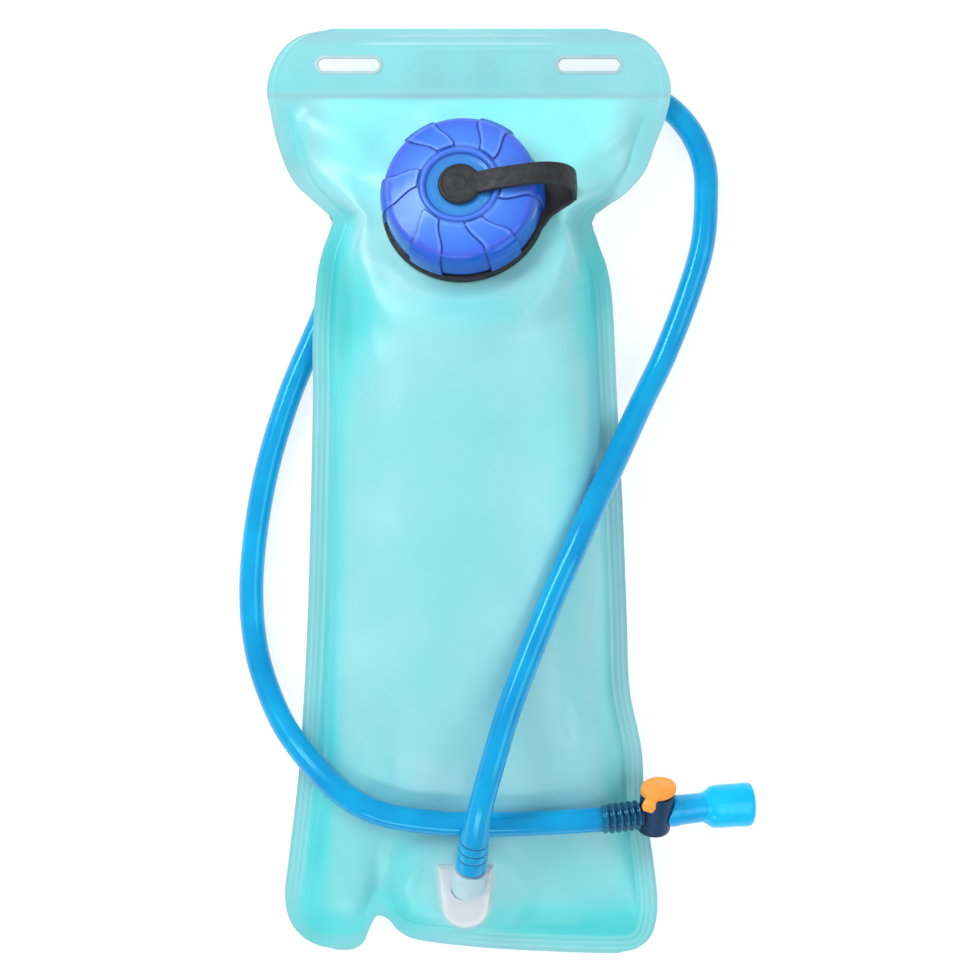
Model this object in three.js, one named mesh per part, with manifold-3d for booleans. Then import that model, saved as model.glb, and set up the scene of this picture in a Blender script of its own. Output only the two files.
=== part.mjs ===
// A hydration bladder: a welded film bag with a screw cap on a tether, an outlet port, a drinking hose
// and a shut-off valve with a bite valve. Millimetres, +Z up. The bag lies on its back, filled, with its
// header towards +Y. The origin is on the floor under the middle of the bag.
import * as THREE from "three";
import { mergeVertices } from "three/addons/utils/BufferGeometryUtils.js";
import Module from "manifold-3d";

const wasm = await Module();
wasm.setup();

// ---------- driving dimensions ----------
const FILM = 0.8; // modelled thickness of one sheet
const SHEET_GAP = 0.3; // between the two sheets in the weld
const TOP_Y = 197.5;
const BOTTOM_Y = -197.5;
const HEADER_Y = 168.5; // the weld line under the header
const WELD = 8; // width of the weld round the edge
const WELD_SHARE = 0.057; // the side welds' share of the bag's width
const HEADER_Z = 16; // height of the weld at the header and along most of the sides
const BOTTOM_Z = 8.5; // height of the weld at the bottom
const SLOT = { x: 51.2, y: 182.1, length: 26.2, width: 5.3 };
const HEADER_ROWS = [178, 186, 192, 195.5]; // the sheets' grid rows between the weld line and the top
const BOTTOM_LEFT = -57; // where the straight part of the bottom edge starts and ends
const BOTTOM_RIGHT = 64;

const CAP_BASE = new THREE.Vector3(-1.7, 120.5, 34.3); // where the neck's axis passes through the front film
const CAP_AXIS = new THREE.Vector3(-0.087, 0.316, 0.945).normalize();
const NECK = { bore: 24.5, wall: 28, rim: 16.8, flange: 34, sink: 2.6, flangeTop: -1.15 };
const FILM_HOLE = 29; // radius, round the neck
const NECK_BLEND = [42, 64]; // the film is flat up to the first radius round the neck, free past the second
const THREAD = { pitch: 6, neckTip: 29.6, capTip: 28.4, root: 0.9, tip: 0.5, sides: 24 };
const CAP = { bore: 30.2, ceiling: 19.4, bottom: 5.6, lugBottom: 4.7, radius: 33.4, lugRadius: 34.6 };
const LUG = { count: 6, width: 25, first: 3.5, twist: 13.5 }; // degrees
const BUTTON = { radius: 9, low: 22.3, high: 24.8, stem: 3.8, hole: 4.2 };
const RING = { inner: 28.8, outer: 35, low: 0.4, high: 4.2 };
const TONGUE = { low: 1.2, thickness: 2.2 }; // the ring's tongue, which carries the strap
const STRAP = { width: 9.4, thickness: 2, steps: 30 };

const PORT = { at: new THREE.Vector3(-1.4, -172.5, 15.8), slope: 0.4, halfWidth: 12.1, reach: 15.1 };
const PORT_BLEND = { x: 24, y: 23, up: 1, end: 1.4 }; // the film is flat over this oval round the port
const PORT_HOLE = { radius: 8.2, y: 2 };
const SPOUT_END = new THREE.Vector3(2.156, 19.354, 10.525); // middle of the hose's end, in the port's frame
const SPOUT_AXIS = new THREE.Vector3(0.11, 0.9606, 0.2555).normalize();
const SPOUT = { bore: 2.1, wall: 2.7, barb: 3.25, socket: 3.7, root: -19, pocket: -16, pocketRadius: 8.3 };
const WATERWAY = { y: -1, radius: 2.2 }; // from the bag's inside to the spout

const HOSE = { outer: 5.25, bore: 3.7, sides: 10, steps: 64 };
const VALVE_AT = new THREE.Vector3(79.2, -136.4, 20.1);
const FLOW = new THREE.Vector3(0.9475, 0.083, -0.309).normalize(); // from the hose to the mouthpiece
const STALK = new THREE.Vector3(0.087, 0.866, 0.5).normalize(); // the valve core's axis, towards the lever
const BODY = { radius: 7.2, low: -8.4, high: 10.5, cavity: 5.1, floor: -6.6, socket: 3.7, sides: 28 };
const CLIP_GROOVE = { radius: 5.9, low: 6.7, high: 7.7 };
const SPOOL = { radius: 4.6, groove: 3.5, stem: 3, low: -6.2, high: 6.4, bore: 2, seal: 4.5 };
const LEVER = { low: 10.8, radius: 7.5, reach: 9.2, tabRadius: 2.2, pocket: 3.3 };
const LEVER_ANGLE = 231; // degrees from the flow, about the core's axis
const BITE_TURN = 58.3; // brings the mouthpiece's wide side level
const CLEAR = 0.3; // between neighbouring pieces
const COLUMNS = 12; // of a sheet's grid, between its welds
const ROWS = 32; // of a sheet's grid, from the bottom weld to the header
const ROUND = 40; // sides of a large round part
const SMALL = 20; // sides of a small one

// ---------- helpers ----------
const lerp = THREE.MathUtils.lerp;
const clamp = THREE.MathUtils.clamp;
const smooth = THREE.MathUtils.smoothstep;
const rad = THREE.MathUtils.degToRad;

// A smooth function through [x, y] points, flat at both ends.
function through(points) {
  const slope = points.map((p, i) => {
    const a = points[Math.max(i - 1, 0)];
    const b = points[Math.min(i + 1, points.length - 1)];
    return i === 0 || i === points.length - 1 ? 0 : (b[1] - a[1]) / (b[0] - a[0]);
  });
  return (x) => {
    const at = clamp(points.findIndex((p) => p[0] > x) - 1, 0, points.length - 2);
    const i = x >= points[points.length - 1][0] ? points.length - 2 : at;
    const span = points[i + 1][0] - points[i][0];
    const t = clamp((x - points[i][0]) / span, 0, 1);
    const a = (1 + 2 * t) * (1 - t) ** 2 * points[i][1] + t * t * (3 - 2 * t) * points[i + 1][1];
    return a + span * (t * (1 - t) ** 2 * slope[i] - t * t * (1 - t) * slope[i + 1]);
  };
}

// A closed geometry with shared vertices, no empty triangles and its faces pointing out.
function closed(geometry) {
  const bare = new THREE.BufferGeometry().setAttribute("position", geometry.getAttribute("position"));
  if (geometry.index) bare.setIndex(geometry.index);
  const merged = mergeVertices(bare, 1e-4);
  const p = merged.getAttribute("position");
  const index = [];
  let volume = 0;
  const corner = [new THREE.Vector3(), new THREE.Vector3(), new THREE.Vector3()];
  for (let i = 0; i < merged.index.count; i += 3) {
    const t = [0, 1, 2].map((k) => merged.index.getX(i + k));
    if (t[0] === t[1] || t[1] === t[2] || t[2] === t[0]) continue;
    t.forEach((v, k) => corner[k].fromBufferAttribute(p, v));
    volume += corner[0].dot(corner[1].cross(corner[2]));
    index.push(...t);
  }
  if (volume < 0) index.reverse();
  merged.setIndex(index);
  return merged;
}

function solidOf(geometry) {
  const g = closed(geometry);
  const mesh = { numProp: 3, vertProperties: g.getAttribute("position").array };
  return new wasm.Manifold(new wasm.Mesh({ ...mesh, triVerts: new Uint32Array(g.index.array) }));
}

function geometryOf(solid) {
  const mesh = solid.getMesh();
  const g = new THREE.BufferGeometry();
  g.setAttribute("position", new THREE.BufferAttribute(mesh.vertProperties, 3));
  g.setIndex(new THREE.BufferAttribute(mesh.triVerts, 1));
  return g;
}

const cut = (base, ...tools) => geometryOf(tools.reduce((s, t) => s.subtract(solidOf(t)), solidOf(base)));
const join = (base, ...more) => geometryOf(more.reduce((s, t) => s.add(solidOf(t)), solidOf(base)));

// A solid of revolution about Z from [radius, z] points, closed on itself or with both ends on the axis.
function lathe(points, sides = ROUND) {
  const profile = points.map(([r, z]) => new THREE.Vector2(r, z));
  if (points[0][0] > 0) profile.push(profile[0].clone());
  return closed(new THREE.LatheGeometry(profile, sides).rotateX(Math.PI / 2));
}

const ring = (inner, outer, low, high, sides) =>
  lathe([[inner, low], [outer, low], [outer, high], [inner, high]], sides);
const disc = (radius, low, high, sides) => lathe([[0, low], [radius, low], [radius, high], [0, high]], sides);

// The triangles of a flat loop, each turned the way the loop runs.
function flatEnd(loop) {
  const normal = new THREE.Vector3();
  loop.forEach((p, i) => normal.add(new THREE.Vector3().crossVectors(p, loop[(i + 1) % loop.length])));
  const across = new THREE.Vector3().subVectors(loop[1], loop[0]).normalize();
  const up = new THREE.Vector3().crossVectors(normal.normalize(), across);
  const flat = loop.map((p) => new THREE.Vector2(p.dot(across), p.dot(up)));
  return THREE.ShapeUtils.triangulateShape(flat, []).map(([a, b, c]) => {
    const ab = flat[b].clone().sub(flat[a]);
    return ab.cross(flat[c].clone().sub(flat[a])) > 0 ? [a, b, c] : [a, c, b];
  });
}

// A solid lofted through loops that all have the same number of points, with flat ends.
function loft(loops) {
  const n = loops[0].length;
  const vertices = loops.flat().flatMap((p) => [p.x, p.y, p.z]);
  const index = [];
  for (let k = 0; k + 1 < loops.length; k++)
    for (let i = 0; i < n; i++) {
      const a = k * n + i;
      const b = k * n + ((i + 1) % n);
      index.push(a, b, b + n, a, b + n, a + n);
    }
  const last = (loops.length - 1) * n;
  for (const [a, b, c] of flatEnd(loops[0])) index.push(a, c, b);
  for (const [a, b, c] of flatEnd(loops[loops.length - 1])) index.push(last + a, last + b, last + c);
  const g = new THREE.BufferGeometry();
  g.setAttribute("position", new THREE.Float32BufferAttribute(vertices, 3));
  g.setIndex(index);
  return closed(g);
}

// A point at a radius, an angle in degrees and a height on the Z axis.
const polar = (r, degrees, z) => new THREE.Vector3(r * Math.cos(rad(degrees)), r * Math.sin(rad(degrees)), z);

// A cylinder between two points.
function rod(from, to, radius, sides = SMALL) {
  const along = new THREE.Vector3().subVectors(to, from);
  const turn = new THREE.Quaternion().setFromUnitVectors(new THREE.Vector3(0, 0, 1), along.clone().normalize());
  return disc(radius, 0, along.length(), sides).applyQuaternion(turn).translate(from.x, from.y, from.z);
}

const material = (color, roughness) => new THREE.MeshStandardMaterial({ color, roughness, metalness: 0 });
const clearAqua = material(0x8be0e6, 0.35);
const capBlue = material(0x2f6fe0, 0.3);
const blackRubber = material(0x26221f, 0.7);
const frostWhite = material(0xd9e3e6, 0.45);
const milky = material(0xe8eef2, 0.4);
const hoseBlue = material(0x18a8f0, 0.2);
const navy = material(0x33406e, 0.45);
const orange = material(0xf7941e, 0.5);
const silicone = material(0x2cbdf2, 0.35);
const steel = material(0xb8bcc2, 0.3);

function piece(name, geometry, look, parent) {
  const mesh = new THREE.Mesh(closed(geometry), look);
  mesh.name = name;
  parent.add(mesh);
  return mesh;
}

// ---------- the bag's two sheets ----------
const leftEdge = through([
  [-197.5, -57], [-195.8, -64], [-192, -71], [-185, -76.5], [-174, -78.8], [-161, -77.6], [-131, -74],
  [-110, -72], [-46, -68.6], [39, -66.5], [69, -66.5], [93, -64.5], [104, -62], [111, -59.4], [116.5, -58.4],
  [122, -64], [132, -74.5], [148, -81.4], [163, -84.8], [171, -86.1], [181, -84], [189.9, -78.4],
  [195.2, -70], [197.5, -59],
]);
const rightEdge = through([
  [-197.5, 64], [-195.8, 71], [-191, 77.3], [-183, 80.2], [-174, 80.7], [-161, 79.4], [-131, 75.2],
  [-110, 73.9], [-84.5, 68.8], [-54.6, 67.5], [-3.4, 65.4], [39, 63.2], [82, 61.1], [96, 58.8], [107.5, 54.7],
  [117.4, 53.2], [127, 66.6], [137, 75.2], [148, 79.4], [159, 83.7], [171, 86.1], [181, 84], [189.9, 78.4],
  [195.2, 70], [197.5, 59],
]);
// The bottom edge is drawn in at a fold left of the middle.
const bottomEdge = through([
  [-57, 1.5], [-49.5, 1.8], [-45, 5], [-42, 12], [-39.5, 16], [-34.5, 14.5], [-30.4, 9.8], [-23.8, 6.2],
  [0.5, 2.9], [30, 1], [64, 0],
]);
const weldHeight = (y) => lerp(BOTTOM_Z, HEADER_Z, smooth(y, -120, 0));
// Heights of the two sheets along the middle of the bag.
const frontSpine = through([
  [-189, 9.4], [-172.5, 15.8], [-158, 20.4], [-137, 25.2], [-110, 36.4], [-80, 45.5], [-40, 51], [0, 52],
  [45, 51], [80, 47], [120.5, 34.3], [150, 24.4], [HEADER_Y, 17],
]);
const backSpine = through([
  [-189, 7.5], [-175, 4], [-150, 0], [60, 0], [85, 1.5], [102, 5.5], [120, 10], [135, 12.4], [150, 13.8],
  [HEADER_Y, 15.05],
]);

const capPlane = (x, y) =>
  CAP_BASE.z - (CAP_AXIS.x * (x - CAP_BASE.x) + CAP_AXIS.y * (y - CAP_BASE.y)) / CAP_AXIS.z;
const portPlane = (y) => PORT.at.z + PORT.slope * (y - PORT.at.y);

// A point of the flat bag outline at shares u across and v up.
function onSheet(u, v) {
  const y = lerp(BOTTOM_Y, TOP_Y, v);
  const across = (at) => lerp(leftEdge(at), rightEdge(at), u);
  const low = bottomEdge(lerp(BOTTOM_LEFT, BOTTOM_RIGHT, u));
  return { x: across(y), y: y + (1 - v) ** 6 * low, row: y };
}

// How far across the bag a share is: 0 in the middle, 1 at the side welds.
const offCentre = (u) => clamp(Math.abs(2 * u - 1) / (1 - 2 * WELD_SHARE), 0, 1);
const inWeld = (row, e) => row <= BOTTOM_Y + WELD || row >= HEADER_Y || e >= 1;

function frontHeight(u, p) {
  const e = offCentre(u);
  const flat = weldHeight(p.row) + SHEET_GAP / 2 + FILM;
  if (inWeld(p.row, e)) return flat;
  const crown = flat + (frontSpine(p.row) - flat) * (1 - e ** 2.6) ** 0.6;
  const width = (rightEdge(p.row) - leftEdge(p.row)) / 2;
  const climb = smooth((1 - e) * width, 0, 9) * smooth(HEADER_Y - p.row, 0, 8);
  const neckSide = flat + (capPlane(p.x, p.y) - flat) * climb;
  const nearNeck = 1 - smooth(Math.hypot(p.x - CAP_BASE.x, p.y - CAP_BASE.y), ...NECK_BLEND);
  const sideways = (p.x - PORT.at.x) / PORT_BLEND.x;
  const upwards = (p.y - PORT.at.y - PORT_BLEND.up) / PORT_BLEND.y;
  const nearPort = 1 - smooth(Math.hypot(sideways, upwards), 1, PORT_BLEND.end);
  const shaped = lerp(crown, neckSide, nearNeck);
  return p.row < -120 ? lerp(shaped, portPlane(p.y), nearPort) : shaped;
}

function backHeight(u, p) {
  const e = offCentre(u);
  const flat = weldHeight(p.row) - SHEET_GAP / 2 - FILM;
  if (inWeld(p.row, e)) return flat;
  const middle = clamp(backSpine(p.row), 0, flat);
  return lerp(middle, flat, clamp((e - 0.3) / 0.7, 0, 1) ** 2.4);
}

// One sheet: a grid of points at the height's surface and FILM above or below it.
function sheet(height, thickness) {
  const rows = [BOTTOM_Y, BOTTOM_Y + WELD];
  for (let k = 1; k < ROWS; k++) rows.push(lerp(BOTTOM_Y + WELD, HEADER_Y, k / ROWS));
  rows.push(HEADER_Y, ...HEADER_ROWS, TOP_Y);
  const columns = [0];
  for (let k = 0; k <= COLUMNS; k++) {
    const even = (2 * k) / COLUMNS - 1;
    const spread = Math.sign(even) * (1 - (1 - Math.abs(even)) ** 1.35);
    columns.push(0.5 + (0.5 - WELD_SHARE) * spread);
  }
  columns.push(1);
  const n = columns.length;
  const skin = [0, thickness].map((lift) =>
    rows.map((row) =>
      columns.map((u) => {
        const p = onSheet(u, (row - BOTTOM_Y) / (TOP_Y - BOTTOM_Y));
        return new THREE.Vector3(p.x, p.y, height(u, p) + lift);
      }),
    ),
  );
  const vertices = skin.flat(2).flatMap((p) => [p.x, p.y, p.z]);
  const index = [];
  const quad = (a, b, c, d) => index.push(a, b, c, a, c, d);
  const far = rows.length * n;
  for (let r = 0; r + 1 < rows.length; r++)
    for (let c = 0; c + 1 < n; c++) {
      const a = r * n + c;
      quad(a, a + n, a + n + 1, a + 1);
      quad(far + a, far + a + 1, far + a + n + 1, far + a + n);
    }
  const rim = [];
  for (let c = 0; c < n - 1; c++) rim.push(c);
  for (let r = 0; r < rows.length - 1; r++) rim.push(r * n + n - 1);
  for (let c = n - 1; c > 0; c--) rim.push((rows.length - 1) * n + c);
  for (let r = rows.length - 1; r > 0; r--) rim.push(r * n);
  rim.forEach((a, i) => {
    const b = rim[(i + 1) % rim.length];
    quad(a, b, b + far, a + far);
  });
  const g = new THREE.BufferGeometry();
  g.setAttribute("position", new THREE.Float32BufferAttribute(vertices, 3));
  g.setIndex(index);
  return closed(g);
}

function slotCutter(side) {
  const r = SLOT.width / 2;
  const half = SLOT.length / 2 - r;
  const shape = new THREE.Shape();
  shape.absarc(half, 0, r, -Math.PI / 2, Math.PI / 2);
  shape.absarc(-half, 0, r, Math.PI / 2, (3 * Math.PI) / 2);
  const g = new THREE.ExtrudeGeometry(shape, { depth: 20, bevelEnabled: false, curveSegments: 8 });
  return g.translate(side * SLOT.x, SLOT.y, HEADER_Z - 10);
}

function inCapFrame(geometry) {
  const turn = new THREE.Quaternion().setFromUnitVectors(new THREE.Vector3(0, 0, 1), CAP_AXIS);
  return geometry.applyQuaternion(turn).translate(CAP_BASE.x, CAP_BASE.y, CAP_BASE.z);
}

function inPortFrame(geometry) {
  return geometry.rotateX(Math.atan(PORT.slope)).translate(PORT.at.x, PORT.at.y, PORT.at.z);
}

// ---------- the neck, the cap and the tether, in the cap's frame ----------
// A trapezoid ridge that climbs one pitch a turn.
function threadRidge(base, tip, startZ, startDegrees, turns) {
  const steps = Math.round(turns * THREAD.sides);
  const loops = [];
  for (let k = 0; k <= steps; k++) {
    const angle = startDegrees + (360 * k) / THREAD.sides;
    const z = startZ + (THREAD.pitch * k) / THREAD.sides;
    const fade = clamp(Math.min(k, steps - k) / 2, 0.25, 1);
    const at = base + (tip - base) * fade;
    const under = base + (base > tip ? 0.6 : -0.6);
    loops.push([
      polar(under, angle, z - THREAD.root), polar(at, angle, z - THREAD.tip),
      polar(at, angle, z + THREAD.tip), polar(under, angle, z + THREAD.root),
    ]);
  }
  return loft(loops);
}

function fillerNeck() {
  const tube = lathe([
    [NECK.bore, -NECK.sink], [NECK.flange, -NECK.sink], [NECK.flange, NECK.flangeTop],
    [NECK.wall, NECK.flangeTop], [NECK.wall, NECK.rim], [NECK.bore, NECK.rim],
  ]);
  return join(tube, threadRidge(NECK.wall, THREAD.neckTip, 7.9, 0, 1.25));
}

function capShell() {
  const body = lathe([
    [BUTTON.hole, CAP.ceiling], [CAP.bore, CAP.ceiling], [CAP.bore, CAP.bottom], [CAP.radius, CAP.bottom],
    [CAP.radius - 0.2, 12], [32.7, 17.2], [31.3, 19.8], [29.5, 21], [16.8, 23.4], [16.2, 24], [15, 24],
    [13.8, 22], [BUTTON.hole, 22],
  ]);
  const section = [
    [16.6, 22.6], [30.8, 19.8], [32, 17.5], [32.2, 8], [32.2, CAP.lugBottom], [CAP.lugRadius, CAP.lugBottom],
    [CAP.lugRadius - 0.1, 12], [33.8, 17.4], [32.2, 20.3], [30, 21.7], [17.3, 23.95],
  ];
  const lugs = [];
  for (let k = 0; k < LUG.count; k++) {
    const middle = LUG.first + (360 / LUG.count) * k;
    const loops = [];
    for (let j = 0; j <= 4; j++) {
      const angle = middle + LUG.width * (j / 4 - 0.5);
      const twist = (r) => -LUG.twist * (1 - smooth(r, 16.6, 30));
      loops.push(section.map(([r, z]) => polar(r, angle + twist(r), z)));
    }
    lugs.push(loft(loops));
  }
  return join(body, ...lugs, threadRidge(CAP.bore, THREAD.capTip, 6.9, 120, 0.9));
}

function tetherButton() {
  const r = BUTTON.stem;
  return lathe([
    [0, 15.2], [r + 0.6, 15.4], [r + 0.6, 16.2], [r, 16.4], [r, BUTTON.low], [BUTTON.radius - 0.4, BUTTON.low],
    [BUTTON.radius, 22.8], [BUTTON.radius, 24], [BUTTON.radius - 0.7, BUTTON.high - 0.2], [0, BUTTON.high],
  ]);
}

function tetherRing() {
  const outline = [
    [24, -20], [32.8, -12], [37.1, -6], [42.3, -2.4], [46, -0.4], [47.6, 1.4], [47.6, 9.3], [34, 10.5], [24, 12],
  ];
  const tongue = new THREE.Shape(outline.map(([x, y]) => new THREE.Vector2(x, y)));
  const plate = new THREE.ExtrudeGeometry(tongue, { depth: TONGUE.thickness, bevelEnabled: false });
  const solid = join(ring(RING.inner, RING.outer, RING.low, RING.high), plate.translate(0, 0, TONGUE.low));
  return cut(solid, disc(RING.inner, -1, 6));
}

// The flat strap from the button over the cap's rim down to the ring's tongue.
const STRAP_LINE = [
  [9.4, 1, 23.9], [15, 1.7, 25.8], [24, 3, 26.5], [32, 4, 26.3], [38.2, 4.6, 24.8], [43, 4.9, 21.4],
  [45.8, 5, 16.4], [46.5, 5, 11.2], [46.4, 5, 7], [46.3, 5, 3.8],
];

function tetherStrap() {
  const middle = new THREE.CatmullRomCurve3(STRAP_LINE.map(([x, y, z]) => new THREE.Vector3(x, y, z)));
  const loops = [];
  for (let k = 0; k <= STRAP.steps; k++) {
    const at = middle.getPoint(k / STRAP.steps);
    const along = middle.getTangent(k / STRAP.steps);
    const side = new THREE.Vector3(0, 1, 0);
    side.addScaledVector(along, -side.dot(along)).normalize();
    const up = new THREE.Vector3().crossVectors(along, side);
    const corner = (a, b) =>
      at.clone().addScaledVector(side, (a * STRAP.width) / 2).addScaledVector(up, (b * STRAP.thickness) / 2);
    loops.push([corner(-1, -1), corner(1, -1), corner(1, 1), corner(-1, 1)]);
  }
  return loft(loops);
}

// ---------- the outlet, in the port's frame ----------
const alongSpout = (t) => SPOUT_END.clone().addScaledVector(SPOUT_AXIS, t);

function outletPort() {
  const w = PORT.halfWidth;
  const outline = new THREE.Shape();
  outline.moveTo(w, PORT.reach);
  outline.lineTo(-w, PORT.reach);
  outline.lineTo(-w, w - PORT.reach);
  outline.absarc(0, w - PORT.reach, w, Math.PI, 2 * Math.PI);
  const scoop = new THREE.ExtrudeGeometry(outline, { depth: 10, bevelEnabled: false, curveSegments: 12 });
  scoop.translate(0, 0, CLEAR);
  const slanted = new THREE.BoxGeometry(60, 80, 20).translate(0, 0, 10);
  slanted.rotateX(rad(19)).translate(0, -14, 1.6);
  const falling = new THREE.BoxGeometry(60, 80, 20).translate(0, 0, 10);
  falling.rotateX(rad(-27)).translate(0, 3, 8.6);
  const pocket = rod(alongSpout(SPOUT.pocket), alongSpout(30), SPOUT.pocketRadius);
  const { y, radius } = WATERWAY;
  const throat = rod(new THREE.Vector3(0, y, -4), new THREE.Vector3(0, y, 3), radius, 16);
  const channel = rod(new THREE.Vector3(0, y, 2.9), alongSpout(SPOUT.pocket + 0.5), radius, 16);
  const socket = rod(alongSpout(SPOUT.root - 0.5), alongSpout(SPOUT.pocket + 1.5), SPOUT.socket);
  const plate = new THREE.BoxGeometry(25, 25, 1.5).translate(0, 4.5, -1.9);
  const stem = disc(PORT_HOLE.radius - 0.7, -1.9, 0.5).translate(0, PORT_HOLE.y, 0);
  return cut(join(cut(scoop, slanted, falling, pocket), plate, stem), throat, channel, socket);
}

// A barbed tube along Z, from low to high, whose barbs start at first.
function barbedTube(low, high, bore, wall, tip, first, pitch) {
  const outside = [[bore, low], [wall, low]];
  for (let z = first; z + pitch <= high + 0.01; z += pitch) {
    outside.push([wall, z], [tip, z + 0.2], [wall, z + pitch - 0.1]);
  }
  outside.push([wall - 0.3, high], [bore, high]);
  return lathe(outside, SMALL);
}

// Its root sits in the port, and its shoulder stops the hose.
function outletSpigot() {
  const tube = barbedTube(SPOUT.root, 13, SPOUT.bore, SPOUT.wall, SPOUT.barb, 0.6, 3.5);
  const root = ring(2.4, SPOUT.socket - 0.35, SPOUT.root, SPOUT.pocket + 1.1, SMALL);
  const shoulder = ring(2.4, 5.9, SPOUT.pocket + 1.4, -0.8, 32);
  const turn = new THREE.Quaternion().setFromUnitVectors(new THREE.Vector3(0, 0, 1), SPOUT_AXIS);
  return join(tube, root, shoulder).applyQuaternion(turn).translate(SPOUT_END.x, SPOUT_END.y, SPOUT_END.z);
}

// ---------- the valve, in its own frame: +X is the flow, +Z is the core's axis ----------
const alongX = (geometry) => geometry.rotateY(Math.PI / 2);

function valveBody() {
  const { radius, low, high, cavity, floor } = BODY;
  const shell = lathe([
    [0, low], [radius - 1, low], [radius - 0.2, low + 0.5], [radius, low + 1.4], [radius, high], [cavity, high],
    [cavity, CLIP_GROOVE.high], [CLIP_GROOVE.radius, CLIP_GROOVE.high], [CLIP_GROOVE.radius, CLIP_GROOVE.low],
    [cavity, CLIP_GROOVE.low], [cavity, floor], [0, floor],
  ], BODY.sides);
  return cut(shell, alongX(disc(BODY.socket, -9, 9, SMALL)));
}

function valveBarb() {
  const tail = barbedTube(7.9, 24.4, 2, 2.6, 3.25, 8.8, 2.6);
  return alongX(join(tail, ring(2, 3.4, 5.7, 8.3, SMALL)).rotateX(Math.PI));
}

function mouthpieceSpigot() {
  const spout = lathe([
    [2, 5.7], [3.4, 5.7], [3.4, 7.5], [5.6, 7.5], [5.6, 7.9], [4.4, 7.9], [4.4, 17], [4.9, 17.2], [4.1, 20],
    [2, 20],
  ], SMALL);
  return alongX(spout);
}

function valveSpool() {
  const { radius, groove, stem, low, high } = SPOOL;
  const core = lathe([
    [0, low], [radius, low], [radius, -5.3], [groove, -5.3], [groove, -3.7], [radius, -3.7], [radius, 3.7],
    [groove, 3.7], [groove, 5.3], [radius, 5.3], [radius, high], [stem, high], [stem, LEVER.low + 2],
    [0, LEVER.low + 2],
  ], SMALL);
  return cut(core, alongX(disc(SPOOL.bore, -9, 9, 16)).rotateZ(rad(LEVER_ANGLE)));
}

const sealRing = (z) => new THREE.TorusGeometry(4.3, 0.45, 8, SMALL).translate(0, 0, z);

function spoolClip() {
  const { radius, low, high } = CLIP_GROOVE;
  const band = ring(SPOOL.radius, radius - CLEAR, low + 0.25, high - 0.25, SMALL);
  return cut(band, new THREE.BoxGeometry(4, 2.4, 4).translate(5, 0, low + 0.5));
}

function valveLever() {
  const { low, radius, reach, tabRadius } = LEVER;
  const top = low + 3.4;
  const knob = lathe([
    [0, low], [radius - 0.6, low], [radius, low + 0.6], [radius, top - 1], [radius - 0.9, top], [0, top + 0.4],
  ], 32);
  const tab = new THREE.Shape();
  tab.moveTo(0, -tabRadius - 0.4);
  tab.lineTo(reach, -tabRadius);
  tab.absarc(reach, 0, tabRadius, -Math.PI / 2, Math.PI / 2);
  tab.lineTo(0, tabRadius + 0.4);
  const grip = new THREE.ExtrudeGeometry(tab, { depth: 3, bevelEnabled: false, curveSegments: 8 });
  const whole = join(knob, grip.translate(0, 0, low + 0.2));
  return cut(whole, disc(LEVER.pocket, low - 1, low + 2.3, SMALL)).rotateZ(rad(LEVER_ANGLE));
}

function biteValve() {
  const oval = (x, ry, rz) => {
    const loop = [];
    for (let k = 0; k < SMALL; k++) {
      const a = (2 * Math.PI * k) / SMALL;
      loop.push(new THREE.Vector3(x, ry * Math.cos(a), rz * Math.sin(a)));
    }
    return loop;
  };
  const outside = [
    [8.2, 6.9, 6.9], [8.8, 7.15, 7.15], [9.8, 7, 7], [11, 6.5, 6.5], [20.5, 6.3, 6.3], [23, 7.2, 6.6],
    [26.6, 9.3, 7.3], [33, 9.5, 7.6], [41, 9.7, 7.3], [43, 9.3, 6.8], [43.9, 7.6, 5.2],
  ];
  const inside = [[7, 5.3, 5.3], [21, 5.2, 5.2], [27, 7.3, 5.4], [39, 7.6, 5.2], [41.4, 5.6, 3]];
  const skin = loft(outside.map((s) => oval(...s)));
  const hollow = loft(inside.map((s) => oval(...s)));
  const slit = new THREE.BoxGeometry(8, 8, 0.7).translate(43, 0, 0);
  return cut(skin, hollow, slit).rotateX(rad(BITE_TURN));
}

// ---------- the drinking hose ----------
const HOSE_ROUTE = [
  [0.8, -158.12, 33], [1.13, -155.73, 34.79], [3.3, -140.4, 45.6], [5, -131.7, 50.4], [7.4, -122.3, 53.4],
  [10.3, -112, 54.8], [17.3, -89, 54.4], [34.2, -46, 51.2], [43, -26, 47.9], [52.5, -5.6, 39.8],
  [60.8, 11, 29.8], [74, 38.7, 15.2], [83.5, 58, 8.5], [93.6, 83.5, 5.4], [100.2, 106, 5.3], [101.8, 126, 5.3],
  [101.2, 139.5, 5.3], [96.6, 152.3, 5.3], [88.2, 163, 5.3], [76.9, 170.2, 5.3], [63.5, 173.8, 5.3],
  [46, 174.3, 5.3], [20.9, 171.9, 5.3], [-5, 161.6, 5.3], [-27.3, 143.7, 5.3], [-44.5, 117, 5.3],
  [-65, 70, 5.3], [-77.6, 40, 5.3], [-88.2, 3, 5.3], [-93.4, -38, 5.4], [-91.5, -66, 6.2],
  [-85.5, -86, 9.8], [-76, -104, 15.7], [-55, -126.5, 26.2], [-38, -135.6, 29.2], [-12, -139.7, 30.9],
  [8, -140.3, 31.1], [33, -139.6, 29.9], [57.8, -138.3, 27], [71.05, -137.11, 22.76],
];

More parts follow.
